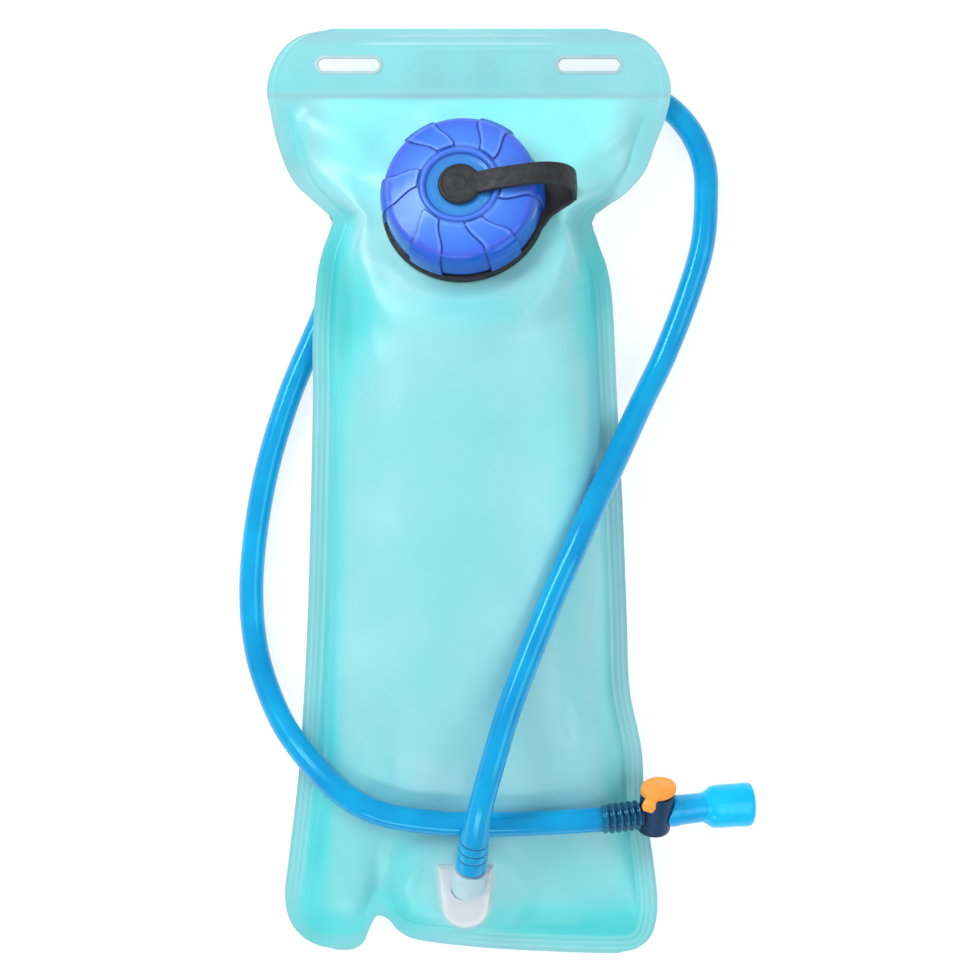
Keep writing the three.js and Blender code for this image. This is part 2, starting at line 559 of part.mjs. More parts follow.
function drinkingHose() {
  const points = HOSE_ROUTE.map(([x, y, z]) => new THREE.Vector3(x, y, z));
  const route = new THREE.CatmullRomCurve3(points, false, "centripetal");
  const section = (r) => {
    const p = [];
    for (let k = 0; k < HOSE.sides; k++) {
      const a = (2 * Math.PI * k) / HOSE.sides;
      p.push(new THREE.Vector2(r * Math.cos(a), r * Math.sin(a)));
    }
    return p;
  };
  const wall = new THREE.Shape(section(HOSE.outer));
  wall.holes.push(new THREE.Path(section(HOSE.bore).reverse()));
  return new THREE.ExtrudeGeometry(wall, { steps: HOSE.steps, extrudePath: route, bevelEnabled: false });
}

// ---------- assembly ----------
const bladder = new THREE.Group();

const hole = inCapFrame(disc(FILM_HOLE, -7, 7));
const outletHole = inPortFrame(disc(PORT_HOLE.radius, -6, 6).translate(0, PORT_HOLE.y, 0));
const front = (u, p) => frontHeight(u, p) - FILM;
const slots = [slotCutter(-1), slotCutter(1)];
piece("front_film", cut(sheet(front, FILM), hole, outletHole, ...slots), clearAqua, bladder);
piece("back_film", cut(sheet(backHeight, FILM), ...slots), clearAqua, bladder);

const neckGroup = new THREE.Group();
neckGroup.position.copy(CAP_BASE);
neckGroup.quaternion.setFromUnitVectors(new THREE.Vector3(0, 0, 1), CAP_AXIS);
bladder.add(neckGroup);
piece("filler_neck", fillerNeck(), milky, neckGroup);
piece("filler_cap", capShell(), capBlue, neckGroup);
piece("cap_seal", ring(24.6, 29.5, NECK.rim + CLEAR, CAP.ceiling - CLEAR), milky, neckGroup);
piece("tether_button", tetherButton(), blackRubber, neckGroup);
piece("button_retainer", ring(BUTTON.stem + CLEAR, 8, 16.8, 18.8), milky, neckGroup);
piece("tether_ring", tetherRing(), blackRubber, neckGroup);
piece("tether_strap", tetherStrap(), blackRubber, neckGroup);

const portGroup = new THREE.Group();
portGroup.position.copy(PORT.at);
portGroup.rotation.x = Math.atan(PORT.slope);
bladder.add(portGroup);
piece("outlet_port", outletPort(), frostWhite, portGroup);
piece("outlet_spigot", outletSpigot(), frostWhite, portGroup);

const valve = new THREE.Group();
const sideways = new THREE.Vector3().crossVectors(STALK, FLOW).normalize();
const core = new THREE.Vector3().crossVectors(FLOW, sideways);
valve.applyMatrix4(new THREE.Matrix4().makeBasis(FLOW, sideways, core).setPosition(VALVE_AT));
bladder.add(valve);
piece("valve_body", valveBody(), navy, valve);
piece("valve_barb", valveBarb(), navy, valve);
piece("valve_spool", valveSpool(), orange, valve);
piece("upper_spool_seal", sealRing(SPOOL.seal), blackRubber, valve);
piece("lower_spool_seal", sealRing(-SPOOL.seal), blackRubber, valve);
piece("spool_clip", spoolClip(), steel, valve);
piece("valve_lever", valveLever(), orange, valve);
piece("mouthpiece_spigot", mouthpieceSpigot(), navy, valve);
piece("bite_valve", biteValve(), silicone, valve);

piece("drinking_hose", drinkingHose(), hoseBlue, bladder);

export default bladder;
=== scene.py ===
"""The looks of a hydration bladder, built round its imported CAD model.

Shapes are worked out in millimetres, in the frame of the CAD model, and turned to metres when a mesh is made.
Only the hose's route and diameter, the camera and the lamps are in metres.
"""
import math
import bpy
import numpy as np
from mathutils import Matrix, Vector


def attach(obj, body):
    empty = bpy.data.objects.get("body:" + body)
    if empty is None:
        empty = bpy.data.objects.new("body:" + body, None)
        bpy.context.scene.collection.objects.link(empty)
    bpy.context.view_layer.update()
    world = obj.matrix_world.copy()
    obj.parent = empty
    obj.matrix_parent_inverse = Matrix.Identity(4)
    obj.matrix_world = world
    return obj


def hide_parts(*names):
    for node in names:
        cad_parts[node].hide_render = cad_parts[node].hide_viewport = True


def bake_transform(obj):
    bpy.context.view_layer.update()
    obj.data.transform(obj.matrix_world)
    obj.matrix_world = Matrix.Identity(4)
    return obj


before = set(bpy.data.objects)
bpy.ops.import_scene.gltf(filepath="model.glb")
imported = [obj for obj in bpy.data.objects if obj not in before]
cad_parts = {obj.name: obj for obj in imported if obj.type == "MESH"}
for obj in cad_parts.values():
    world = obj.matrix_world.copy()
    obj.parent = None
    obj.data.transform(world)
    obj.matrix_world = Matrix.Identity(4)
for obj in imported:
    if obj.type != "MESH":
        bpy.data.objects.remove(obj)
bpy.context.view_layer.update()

MM = 0.001
CAMERA_AT = (0.0073, 0.0026, 1.5)
CAMERA_LENS = 128.9  # millimetres, on a 36 mm sensor

HOSE_DIAMETER = 0.0105
HOSE_BORE_SHARE = 0.7
HOSE_SWELL = 1.3  # millimetres added to its radius over the outlet's spout
HOSE_GROOVES = (6.6, 10.8, 15.0)  # millimetres from its start
RIB_PITCH = 2.9  # millimetres, of the ribs over the valve's barb
HOSE_ROUTE = [
    (0.0008, -0.15812, 0.033), (0.00113, -0.15573, 0.03479), (0.0033, -0.1404, 0.0456),
    (0.005, -0.1317, 0.0504), (0.0074, -0.1223, 0.0534), (0.0103, -0.112, 0.0548),
    (0.0173, -0.089, 0.0544), (0.0342, -0.046, 0.0512), (0.043, -0.026, 0.0479),
    (0.0525, -0.0056, 0.0398), (0.0608, 0.011, 0.0298), (0.074, 0.0387, 0.0152),
    (0.0835, 0.058, 0.0085), (0.0936, 0.0835, 0.0054), (0.1002, 0.106, 0.0053),
    (0.1018, 0.126, 0.0053), (0.1012, 0.1395, 0.0053), (0.0966, 0.1523, 0.0053),
    (0.0882, 0.163, 0.0053), (0.0769, 0.1702, 0.0053), (0.0635, 0.1738, 0.0053),
    (0.046, 0.1743, 0.0053), (0.0209, 0.1719, 0.0053), (-0.005, 0.1616, 0.0053),
    (-0.0273, 0.1437, 0.0053), (-0.0445, 0.117, 0.0053), (-0.065, 0.07, 0.0053),
    (-0.0776, 0.04, 0.0053), (-0.0882, 0.003, 0.0053), (-0.0934, -0.038, 0.0054),
    (-0.0915, -0.066, 0.0062), (-0.0855, -0.086, 0.0098), (-0.076, -0.104, 0.0157),
    (-0.055, -0.1265, 0.0262), (-0.038, -0.1356, 0.0292), (-0.012, -0.1397, 0.0309),
    (0.008, -0.1403, 0.0311), (0.033, -0.1396, 0.0299), (0.0578, -0.1383, 0.027),
    (0.07105, -0.13711, 0.02276),
]

# ---- driving dimensions, in millimetres and degrees ----
TOP_Y = 197.5
BOTTOM_Y = -197.5
HEADER_Y = 168.5
CORNER_Y = -184.0  # where the lower corners' rounding ends
WELD = 8.0
WELD_SHARE = 0.057  # the side weld's share of the bag's width
HEADER_Z = 16.0
BOTTOM_Z = 8.5
SHEET = 0.95  # from the middle of the weld to a sheet's outer face
SLOT_X = 51.2
SLOT_Y = 182.1
SLOT_LENGTH = 26.2
SLOT_WIDTH = 5.3
SLOT_HALF = (SLOT_LENGTH - SLOT_WIDTH) / 2  # from the slot's middle to the centre of its round end
SLOT_RIM = 1.5
FILM_HOLE = 28.9  # radius of the hole round the neck

CAP_BASE = Vector((-1.7, 120.5, 34.3))
CAP_AXIS = Vector((-0.087, 0.316, 0.945)).normalized()
PORT_AT = Vector((-1.4, -172.5, 15.8))
PORT_SLOPE = 0.4
PORT_HALF = 12.1
PORT_REACH = 15.1
PORT_ROUND_FROM = PORT_HALF - PORT_REACH  # its lower end is round below this
PORT_POCKET = 7.25  # radius of the hollow that the spout lies in
PORT_UNDER = -1.2
SPOUT_END = Vector((2.156, 19.354, 10.525))
SPOUT_AXIS = Vector((0.11, 0.9606, 0.2555)).normalized()
VALVE_AT = Vector((79.2, -136.4, 20.1))
VALVE_RADIUS = 7.2
FLOW = Vector((0.9475, 0.083, -0.309)).normalized()
STALK = Vector((0.087, 0.866, 0.5)).normalized()
LEVER_ANGLE = 231
LEVER_LEAN = 25  # direction of the knob's long axis
LEVER_HALF_LENGTH = 8.4
LEVER_HALF_WIDTH = 6.8
BITE_TURN = 58.3
BITE_SAG = 3
BITE_SAG_FROM = 21  # distance along the flow
THREAD_PITCH = 6
LUGS = 6
LUG_FIRST = 3.5
LUG_WIDTH = 25
LUG_TWIST = 13.5
LUG_DEPTH = 1.2
LUG_HEIGHT = 0.85
FLOOR_HALF = 3000
FLOOR_Z = -0.1


def camera():
    data = bpy.data.cameras.new("camera")
    data.lens = CAMERA_LENS
    data.sensor_width = 36
    data.clip_end = 10
    made = bpy.data.objects.new("camera", data)
    made.location = CAMERA_AT
    bpy.context.scene.collection.objects.link(made)
    bpy.context.scene.camera = made


camera()


# ---- small tools ----
def smooth(x, low, high):
    t = np.clip((x - low) / (high - low), 0, 1)
    return t * t * (3 - 2 * t)


def lerp(a, b, t):
    return a + (b - a) * t


def unit(vector):
    return vector / max(np.linalg.norm(vector), 1e-9)


def bell(x, middle, width):
    """1 at the middle, fading out on both sides."""
    return np.exp(-((x - middle) / width) ** 2)


def through(points):
    """A smooth function through (x, y) points, flat at both ends."""
    xs, ys = np.array(points, float).T
    slope = np.zeros(len(xs))
    slope[1:-1] = (ys[2:] - ys[:-2]) / (xs[2:] - xs[:-2])

    def at(x):
        x = np.clip(x, xs[0], xs[-1])
        i = np.clip(np.searchsorted(xs, x, side="right") - 1, 0, len(xs) - 2)
        span = xs[i + 1] - xs[i]
        t = (x - xs[i]) / span
        ends = (1 + 2 * t) * (1 - t) ** 2 * ys[i] + t * t * (3 - 2 * t) * ys[i + 1]
        return ends + span * (t * (1 - t) ** 2 * slope[i] - t * t * (1 - t) * slope[i + 1])

    return at


def frame_matrix(at, z_axis, x_axis=None):
    """Millimetre frame with +Z along z_axis, turned the least from the CAD model's unless x_axis is given."""
    if x_axis is None:
        turn = Vector((0, 0, 1)).rotation_difference(z_axis).to_matrix()
    else:
        side = z_axis.cross(x_axis).normalized()
        turn = Matrix((x_axis, side, x_axis.cross(side))).transposed()
    return Matrix.Translation(at) @ turn.to_4x4()


CAP_FRAME = frame_matrix(CAP_BASE, CAP_AXIS)
PORT_FRAME = Matrix.Translation(PORT_AT) @ Matrix.Rotation(math.atan(PORT_SLOPE), 4, "X")
VALVE_FRAME = frame_matrix(VALVE_AT, STALK, FLOW)
SPOUT_FRAME = PORT_FRAME @ frame_matrix(SPOUT_END, SPOUT_AXIS)
ALONG_FLOW = VALVE_FRAME @ Matrix.Rotation(math.pi / 2, 4, "Y")


def finish_mesh(mesh, look, sharp):
    mesh.materials.clear()
    mesh.materials.append(look)
    mesh.polygons.foreach_set("use_smooth", [True] * len(mesh.polygons))
    mesh.set_sharp_from_angle(angle=math.radians(sharp))


def mesh_object(name, points, faces, look, place=None, sharp=40):
    """A mesh from points in millimetres. Edges that bend more than sharp degrees stay sharp."""
    points = np.asarray(points, float).reshape(-1, 3)
    if place is not None:
        m = np.array(place)
        points = points @ m[:3, :3].T + m[:3, 3]
    mesh = bpy.data.meshes.new(name)
    mesh.from_pydata((points * MM).tolist(), [], faces)
    mesh.validate()
    finish_mesh(mesh, look, sharp)
    made = bpy.data.objects.new(name, mesh)
    bpy.context.scene.collection.objects.link(made)
    return made


def grid_faces(rows, columns, wrap=False):
    steps = [(c, (c + 1) % columns) for c in range(columns if wrap else columns - 1)]
    starts = range(0, (rows - 1) * columns, columns)
    return [(s + a, s + b, s + b + columns, s + a + columns) for s in starts for a, b in steps]


def ring_faces(loops, columns):
    """Faces through closed loops, the last of which joins the first."""
    last = (loops - 1) * columns
    closing = [(last + c, last + (c + 1) % columns, (c + 1) % columns, c) for c in range(columns)]
    return grid_faces(loops, columns, wrap=True) + closing


def join(made, body, stands_for=None):
    """Fixes a piece to its body and hides the CAD piece it stands for, if one is given."""
    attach(made, body)
    if stands_for:
        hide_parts(stands_for)


def fillet(profile, radius, steps=4, closed=False):
    """A polyline with rounded corners, where its sides leave room."""
    points = [np.array(p, float) for p in profile]
    out = []
    n = len(points)
    for i, p in enumerate(points):
        if not closed and i in (0, n - 1):
            out.append(p)
            continue
        before, after = points[i - 1] - p, points[(i + 1) % n] - p
        room = min(np.linalg.norm(before), np.linalg.norm(after)) / 2
        reach = min(radius, room * 0.98)
        a, b = p + unit(before) * reach, p + unit(after) * reach
        for k in range(steps + 1):
            t = k / steps
            out.append((1 - t) ** 2 * a + 2 * t * (1 - t) * p + t * t * b)
    return out


def lathe(name, profile, look, place, sides, radius, closed=True):
    """A turned piece with its corners rounded. A profile that isn't closed starts and ends on the axis."""
    line = np.array(fillet(profile, radius, closed=closed))
    r, z = line[:, :1], line[:, 1:]
    angle = np.arange(sides)[None, :] * 2 * math.pi / sides
    points = np.stack([r * np.cos(angle), r * np.sin(angle), z + 0 * angle], 2)
    faces = ring_faces(len(line), sides) if closed else grid_faces(len(line), sides, wrap=True)
    return mesh_object(name, points, faces, look, place)


def loft(name, loops, look, place):
    """A solid through closed loops of equal length, with flat ends."""
    n = len(loops[0])
    ends = [tuple(reversed(range(n))), tuple(range((len(loops) - 1) * n, len(loops) * n))]
    faces = grid_faces(len(loops), n, wrap=True) + ends
    points = np.concatenate([np.asarray(loop, float) for loop in loops])
    return mesh_object(name, points, faces, look, place)


def rounded_box(half_width, half_height, radius, steps=4):
    """Points of a rounded rectangle round the origin."""
    out = []
    for corner in range(4):
        cx = (half_width - radius) * (1 if corner in (0, 3) else -1)
        cy = (half_height - radius) * (1 if corner in (0, 1) else -1)
        for k in range(steps + 1):
            a = math.radians(90 * corner + 90 * k / steps)
            out.append((cx + radius * math.cos(a), cy + radius * math.sin(a)))
    return out


# ---- materials ----
def srgb(text):
    """A linear colour from a six-digit sRGB code. Any other value stays as it is."""
    if not isinstance(text, str):
        return text
    parts = [int(text[i:i + 2], 16) / 255 for i in (0, 2, 4)]
    return tuple(c / 12.92 if c <= 0.04045 else ((c + 0.055) / 1.055) ** 2.4 for c in parts) + (1,)


class Look:
    """A node material with a Principled shader and a few shorthands."""

    def __init__(self, name, roughness, **sockets):
        self.material = bpy.data.materials.new(name)
        self.material.use_nodes = True
        self.nodes = self.material.node_tree.nodes
        self.links = self.material.node_tree.links
        self.shader = self.nodes["Principled BSDF"]
        self.set(self.shader, Roughness=roughness, **sockets)

    def set(self, node, **sockets):
        for socket, value in sockets.items():
            node.inputs[socket.replace("_", " ")].default_value = value

    def node(self, kind, **sockets):
        made = self.nodes.new("ShaderNode" + kind)
        self.set(made, **sockets)
        return made

    def noise(self, scale, detail):
        node = self.node("TexNoise", Scale=scale, Detail=detail)
        self.links.new(self.node("TexCoord").outputs["Object"], node.inputs["Vector"])
        return node.outputs["Fac"]

    def attribute(self, name):
        node = self.node("Attribute")
        node.attribute_name = name
        return node.outputs["Fac"]

    def ramp(self, value, stops):
        node = self.node("ValToRGB")
        elements = node.color_ramp.elements
        while len(elements) < len(stops):
            elements.new(0.5)
        for element, (at, colour) in zip(elements, stops):
            element.position = at
            element.color = srgb(colour)
        self.links.new(value, node.inputs["Fac"])
        return node.outputs["Color"]

    def mix(self, factor, a, b, how="MIX"):
        node = self.node("Mix")
        node.data_type = "RGBA"
        node.blend_type = how
        first, second = node.inputs[6], node.inputs[7]  # the colour sockets A and B
        for socket, value in ((node.inputs["Factor"], factor), (first, a), (second, b)):
            if isinstance(value, bpy.types.NodeSocket):
                self.links.new(value, socket)
            else:
                socket.default_value = srgb(value)
        return node.outputs[2]

    def colour(self, value):
        self.links.new(value, self.shader.inputs["Base Color"])

    def rough(self, scale, detail, low, high):
        """Roughness from low to high by a noise, most of which lies within 0.3 to 0.7."""
        node = self.node("MapRange", From_Min=0.3, From_Max=0.7, To_Min=low, To_Max=high)
        self.links.new(self.noise(scale, detail), node.inputs["Value"])
        self.links.new(node.outputs["Result"], self.shader.inputs["Roughness"])

    def bump(self, scale, detail, distance, strength):
        node = self.node("Bump", Distance=distance, Strength=strength)
        self.links.new(self.noise(scale, detail), node.inputs["Height"])
        if self.shader.inputs["Normal"].is_linked:
            earlier = self.shader.inputs["Normal"].links[0].from_socket
            self.links.new(earlier, node.inputs["Normal"])
        self.links.new(node.outputs["Normal"], self.shader.inputs["Normal"])


def film_look(name):
    look = Look(name, 0.36, Alpha=0.92, IOR=1.5, Coat_Weight=0.2, Coat_Roughness=0.2)
    # the tone attribute is mostly painted shade and light; the line attribute is pale weld lines, partly
    # painted highlight
    tone = look.ramp(look.attribute("tone"), [
        (0.0, "36c2c4"), (0.3, "61d9dc"), (0.62, "96d6db"), (0.8, "98e2e7"), (1.0, "9bf9fb"),
    ])
    cloud = look.ramp(look.noise(24, 3), [(0.34, "2fd0cc"), (0.52, "8fd8dc"), (0.7, "c4ffff")])
    clouded = look.mix(0.3, tone, cloud, "SOFT_LIGHT")
    greyed = look.mix(look.attribute("grey"), clouded, "9dbfca")
    lined = look.mix(look.attribute("line"), greyed, "c9f6f8")
    look.colour(look.mix(look.attribute("frost"), lined, "d9e2e6"))
    look.rough(60, 3, 0.3, 0.42)
    look.bump(900, 2, 0.00004, 0.5)
    look.bump(70, 3, 0.0006, 0.35)
    return look.material


def cap_look():
    look = Look(
        "cap_blue", 0.25, Coat_Weight=0.3, Coat_Roughness=0.1, IOR=1.46, Specular_Tint=(0.3, 0.6, 1, 1),
    )
    tone = look.ramp(look.attribute("tone"), [
        (0.0, "004cb8"), (0.34, "0058c8"), (0.5, "4a60e2"), (0.66, "3f72e6"), (0.8, "4a88ee"),
        (1.0, "1f8cd2"),
    ])
    violet = look.ramp(look.noise(28, 1), [(0.42, "1478dc"), (0.62, "6a70ee")])
    clouded = look.mix(0.14, tone, violet)
    # the painted highlight lightens lines on the lugs; the edge attribute paints dark shade along their walls
    # and the well's lips
    lit = look.mix(look.attribute("painted_highlight"), clouded, "86aefc")
    look.colour(look.mix(look.attribute("edge"), lit, "06207c"))
    look.rough(120, 3, 0.2, 0.32)
    look.bump(1500, 2, 0.00002, 0.5)
    return look.material


def rubber_look():
    look = Look("black_rubber", 0.6, IOR=1.5)
    look.colour(look.ramp(look.noise(260, 4), [(0.3, "111318"), (0.75, "24272d")]))
    look.rough(420, 3, 0.48, 0.68)
    look.bump(2600, 3, 0.00004, 0.8)
    return look.material


def plain_look(name, dark, light, roughness, grain=1400, **sockets):
    """Moulded plastic or rubber: two close shades clouded together, with a fine grain."""
    look = Look(name, roughness, **sockets)
    look.colour(look.ramp(look.noise(90, 3), [(0.3, dark), (0.72, light)]))
    look.rough(300, 3, roughness * 0.8, roughness * 1.25)
    look.bump(grain, 3, 0.00003, 0.6)
    return look.material


def hose_look():
    look = Look(
        "hose_blue", 0.15, IOR=1.6, Transmission_Weight=0.2, Coat_Weight=0.2, Coat_Roughness=0.08,
        Specular_Tint=(0.2, 0.85, 1, 1),
    )
    clear = look.ramp(look.noise(45, 2), [(0.3, "009de3"), (0.7, "04b9f5")])
    # the dark attribute is painted shade in the grooves and the navy barb seen through the hose
    look.colour(look.mix(look.attribute("dark"), clear, "02164a"))
    look.rough(220, 2, 0.12, 0.2)
    look.bump(500, 2, 0.00002, 0.4)
    return look.material


def port_look():
    look = Look("frosted_port", 0.42, IOR=1.5, **FROSTED)
    look.colour(look.ramp(look.attribute("tone"), [(0.0, "c2e2ea"), (0.5, "cfdadf"), (1.0, "dfecf0")]))
    look.rough(300, 3, 0.36, 0.5)
    look.bump(700, 3, 0.00003, 0.6)
    return look.material


FROSTED = {"Subsurface_Weight": 0.2, "Subsurface_Scale": 0.003}
CYAN_GLOSS = {"Coat_Weight": 0.2, "Specular_Tint": (0.3, 0.85, 1, 1)}
FILM = film_look("aqua_film")
CAP_BLUE = cap_look()
RUBBER = rubber_look()
HOSE_BLUE = hose_look()
MILKY = plain_look("milky_plastic", "dfe9ee", "f2f7f9", 0.35)
WELD_RIM = plain_look("weld_rim", "a6c3cc", "bcd6dc", 0.4, 600)
FROST = plain_look("frosted_plastic", "a9cdd8", "bcd9e1", 0.42, 700, **FROSTED)
PORT_FROST = port_look()
NAVY = plain_look("navy_plastic", "0f2a4a", "183a60", 0.4, Specular_Tint=(0.4, 0.6, 1, 1))
ORANGE = plain_look("orange_plastic", "f99a2a", "ffae42", 0.34)
STEM = plain_look("mouthpiece_stem", "05a3e2", "10b4f0", 0.2, 500, **CYAN_GLOSS)
SILICONE = plain_look("blue_silicone", "00bdf4", "04c9fa", 0.24, 500, **CYAN_GLOSS)
STEEL = plain_look("clip_steel", "8f9298", "b9bcc2", 0.3, Metallic=1.0)


# ---- the drinking hose ----
def centripetal(points, per_span):
    """Points of a centripetal Catmull-Rom curve through the route."""
    route = [np.array(p, float) for p in points]
    route = [2 * route[0] - route[1]] + route + [2 * route[-1] - route[-2]]
    out = []
    for i in range(1, len(route) - 2):
        p = route[i - 1:i + 3]
        dt = [max(np.linalg.norm(p[k + 1] - p[k]) ** 0.5, 1e-6) for k in range(3)]
        m1 = (p[1] - p[0]) / dt[0] - (p[2] - p[0]) / (dt[0] + dt[1]) + (p[2] - p[1]) / dt[1]
        m2 = (p[2] - p[1]) / dt[1] - (p[3] - p[1]) / (dt[1] + dt[2]) + (p[3] - p[2]) / dt[2]
        m1, m2 = m1 * dt[1], m2 * dt[1]
        for k in range(per_span):
            t = k / per_span
            h = (2 * t ** 3 - 3 * t * t + 1, t ** 3 - 2 * t * t + t, -2 * t ** 3 + 3 * t * t, t ** 3 - t * t)
            out.append(h[0] * p[1] + h[1] * m1 + h[2] * p[2] + h[3] * m2)
    out.append(route[-2])
    return np.array(out)


def distances(points):
    """How far along its line each point is."""
    return np.concatenate([[0], np.cumsum(np.linalg.norm(np.diff(points, axis=0), axis=1))])


def sampled(points, along, at):
    """The line's points at other distances along it."""
    return np.stack([np.interp(at, along, points[:, k]) for k in range(3)], 1)


def even(points, step):
    """The same line, with its points an even step apart, and their distances along it."""
    along = distances(points)
    at = np.linspace(0, along[-1], int(round(along[-1] / step)) + 1)
    return sampled(points, along, at), at


def hose_radius(from_start, to_end):
    """The hose's radius, in millimetres: swollen over the spout's barbs and over the valve's ribs."""
    radius = np.full_like(from_start, HOSE_DIAMETER / 2 / MM)
    radius += HOSE_SWELL * (1 - smooth(from_start, 7, 33))
    radius -= 0.22 * groove_lines(from_start)
    radius -= 0.5 * (1 - smooth(from_start, 0, 1.2)) ** 2
    on_barb = 1 - smooth(to_end, 13.5, 17)
    return radius + on_barb * (0.75 + 0.5 * np.cos(2 * math.pi * to_end / RIB_PITCH))


def groove_lines(from_start):
    """1 in the three grooves round the hose's swollen end."""
    return sum(bell(from_start, at, 0.34) for at in HOSE_GROOVES)


def hose_dark(from_start, to_end):
    """How dark the hose is: painted shade in its grooves, and the valve's navy barb showing through."""
    ribs = 0.86 - 0.14 * np.cos(2 * math.pi * to_end / RIB_PITCH)
    return np.clip(0.85 * groove_lines(from_start) + ribs * (1 - smooth(to_end, 13, 20)), 0, 1)


def hose():
    """A tube with its bore, from its route in metres."""
    fine, at = even(centripetal(HOSE_ROUTE, 24) / MM, 0.2)
    ends = np.arange(0, 20, 0.2)
    stations = np.concatenate([ends, np.arange(20, at[-1] - 20, 0.9), at[-1] - ends[::-1]])
    line = sampled(fine, at, stations)
    sides = 28
    tangent = np.gradient(line, axis=0)
    tangent /= np.linalg.norm(tangent, axis=1)[:, None]
    side = np.cross(tangent[0], (0, 0, 1.0))
    outside, bore = [], []
    to_end = at[-1] - stations
    radius = hose_radius(stations, to_end)
    angle = np.arange(sides) * 2 * math.pi / sides
    for p, t, r in zip(line, tangent, radius):
        side = unit(side - np.dot(side, t) * t)
        round_it = np.outer(np.cos(angle), side) + np.outer(np.sin(angle), np.cross(t, side))
        outside.append(p + round_it * r)
        bore.append(p + round_it * HOSE_DIAMETER / 2 / MM * HOSE_BORE_SHARE)
    rings = outside + bore[::-1]
    made = mesh_object("hose", np.concatenate(rings), ring_faces(len(rings), sides), HOSE_BLUE)
    dark = hose_dark(stations, to_end)
    paint(made, "dark", np.repeat(np.concatenate([dark, dark[::-1]]), sides))
    join(made, "bag", "drinking_hose")
    return made, line[::4] * MM, at[-1] * MM


# ---- the bag's two sheets ----
left_edge = through([
    (-197.5, -57), (-195.8, -64), (-192, -71), (-185, -76.5), (-174, -78.8), (-161, -77.6), (-131, -74),
    (-110, -72), (-46, -68.6), (39, -66.5), (69, -66.5), (93, -64.5), (104, -62), (111, -59.4),
    (116.5, -58.4), (122, -64), (132, -74.5), (148, -81.4), (163, -84.8), (171, -86.1), (181, -84),
    (189.9, -78.4), (195.2, -70), (197.5, -59),
])
right_edge = through([
    (-197.5, 64), (-195.8, 71), (-191, 77.3), (-183, 80.2), (-174, 80.7), (-161, 79.4), (-131, 75.2),
    (-110, 73.9), (-84.5, 68.8), (-54.6, 67.5), (-3.4, 65.4), (39, 63.2), (82, 61.1), (96, 58.8),
    (107.5, 54.7), (117.4, 53.2), (127, 66.6), (137, 75.2), (148, 79.4), (159, 83.7), (171, 86.1),
    (181, 84), (189.9, 78.4), (195.2, 70), (197.5, 59),
])
bottom_edge = through([
    (-57, 1.5), (-49.5, 1.8), (-45, 5), (-42, 12), (-39.5, 16), (-34.5, 14.5), (-30.4, 9.8), (-23.8, 6.2),
    (0.5, 2.9), (30, 1), (64, 0),
])
front_spine = through([
    (-189, 9.4), (-172.5, 15.8), (-158, 20.4), (-137, 25.2), (-110, 36.4), (-80, 45.5), (-40, 51), (0, 52),
    (45, 51), (80, 47), (120.5, 34.3), (150, 24.4), (HEADER_Y, 17),
])
back_spine = through([
    (-189, 7.5), (-175, 4), (-150, 0), (60, 0), (85, 1.5), (102, 5.5), (120, 10), (135, 12.4), (150, 13.8),
    (HEADER_Y, 15.05),
])


def bag_grid(rows_between, columns_between):
    """A grid over the flat bag: x, y, each row's y before the notch lifts it, and the share across."""
    bottom = np.linspace(BOTTOM_Y, BOTTOM_Y + WELD, 19)[:-1]
    middle = np.linspace(BOTTOM_Y + WELD, HEADER_Y, rows_between + 1)[:-1]
    top = TOP_Y - (TOP_Y - HEADER_Y) * (1 - np.linspace(0, 1, 34)) ** 1.15
    row = np.concatenate([bottom, middle, top])[:, None]
    weld = np.linspace(0, WELD_SHARE, 21)[:-1]
    across = np.linspace(-1, 1, columns_between + 1)
    across = 0.5 + (0.5 - WELD_SHARE) * np.sign(across) * (1 - (1 - np.abs(across)) ** 1.35)
    u = np.concatenate([weld, across, 1 - weld[::-1]])[None, :]
    v = (row - BOTTOM_Y) / (TOP_Y - BOTTOM_Y)
    wide = np.maximum(row, CORNER_Y)
    x = np.clip(lerp(left_edge(wide), right_edge(wide), u), left_edge(row), right_edge(row))
    y = row + (1 - v) ** 6 * bottom_edge(x)
    return x, y, row + 0 * u, u + 0 * row


def weld_height(row):
    return lerp(BOTTOM_Z, HEADER_Z, smooth(row, -120, 0))


def off_centre(u):
    return np.clip(np.abs(2 * u - 1) / (1 - 2 * WELD_SHARE), 0, 1)


def in_weld(row, u):
    return (row <= BOTTOM_Y + WELD) | (row >= HEADER_Y) | (off_centre(u) >= 1)


def front_shape(x, y, row, u):
    """The height of the front sheet's outer face without its folds."""
    e = off_centre(u)
    flat = weld_height(row) + SHEET
    crown = flat + (front_spine(row) - flat) * (1 - e ** 2.6) ** 0.6
    width = (right_edge(row) - left_edge(row)) / 2
    climb = smooth((1 - e) * width, 0, 9) * smooth(HEADER_Y - row, 0, 8)
    dx, dy = x - CAP_BASE.x, y - CAP_BASE.y
    cap_plane = CAP_BASE.z - (CAP_AXIS.x * dx + CAP_AXIS.y * dy) / CAP_AXIS.z
    neck_side = flat + (cap_plane - flat) * climb
    shaped = lerp(crown, neck_side, 1 - smooth(np.hypot(dx, dy), 42, 64))
    port_plane = PORT_AT.z + PORT_SLOPE * (y - PORT_AT.y)
    near_port = 1 - smooth(np.hypot((x - PORT_AT.x) / 24, (y - PORT_AT.y - 1) / 23), 1, 1.4)
    shaped = lerp(shaped, port_plane, near_port)
    return np.where(in_weld(row, u), flat, shaped)


def back_shape(x, y, row, u):
    flat = weld_height(row) - SHEET
    middle = np.clip(back_spine(row), 0, flat)
    shaped = lerp(middle, flat, np.clip((off_centre(u) - 0.3) / 0.7, 0, 1) ** 2.4)
    return np.where(in_weld(row, u), flat, shaped)


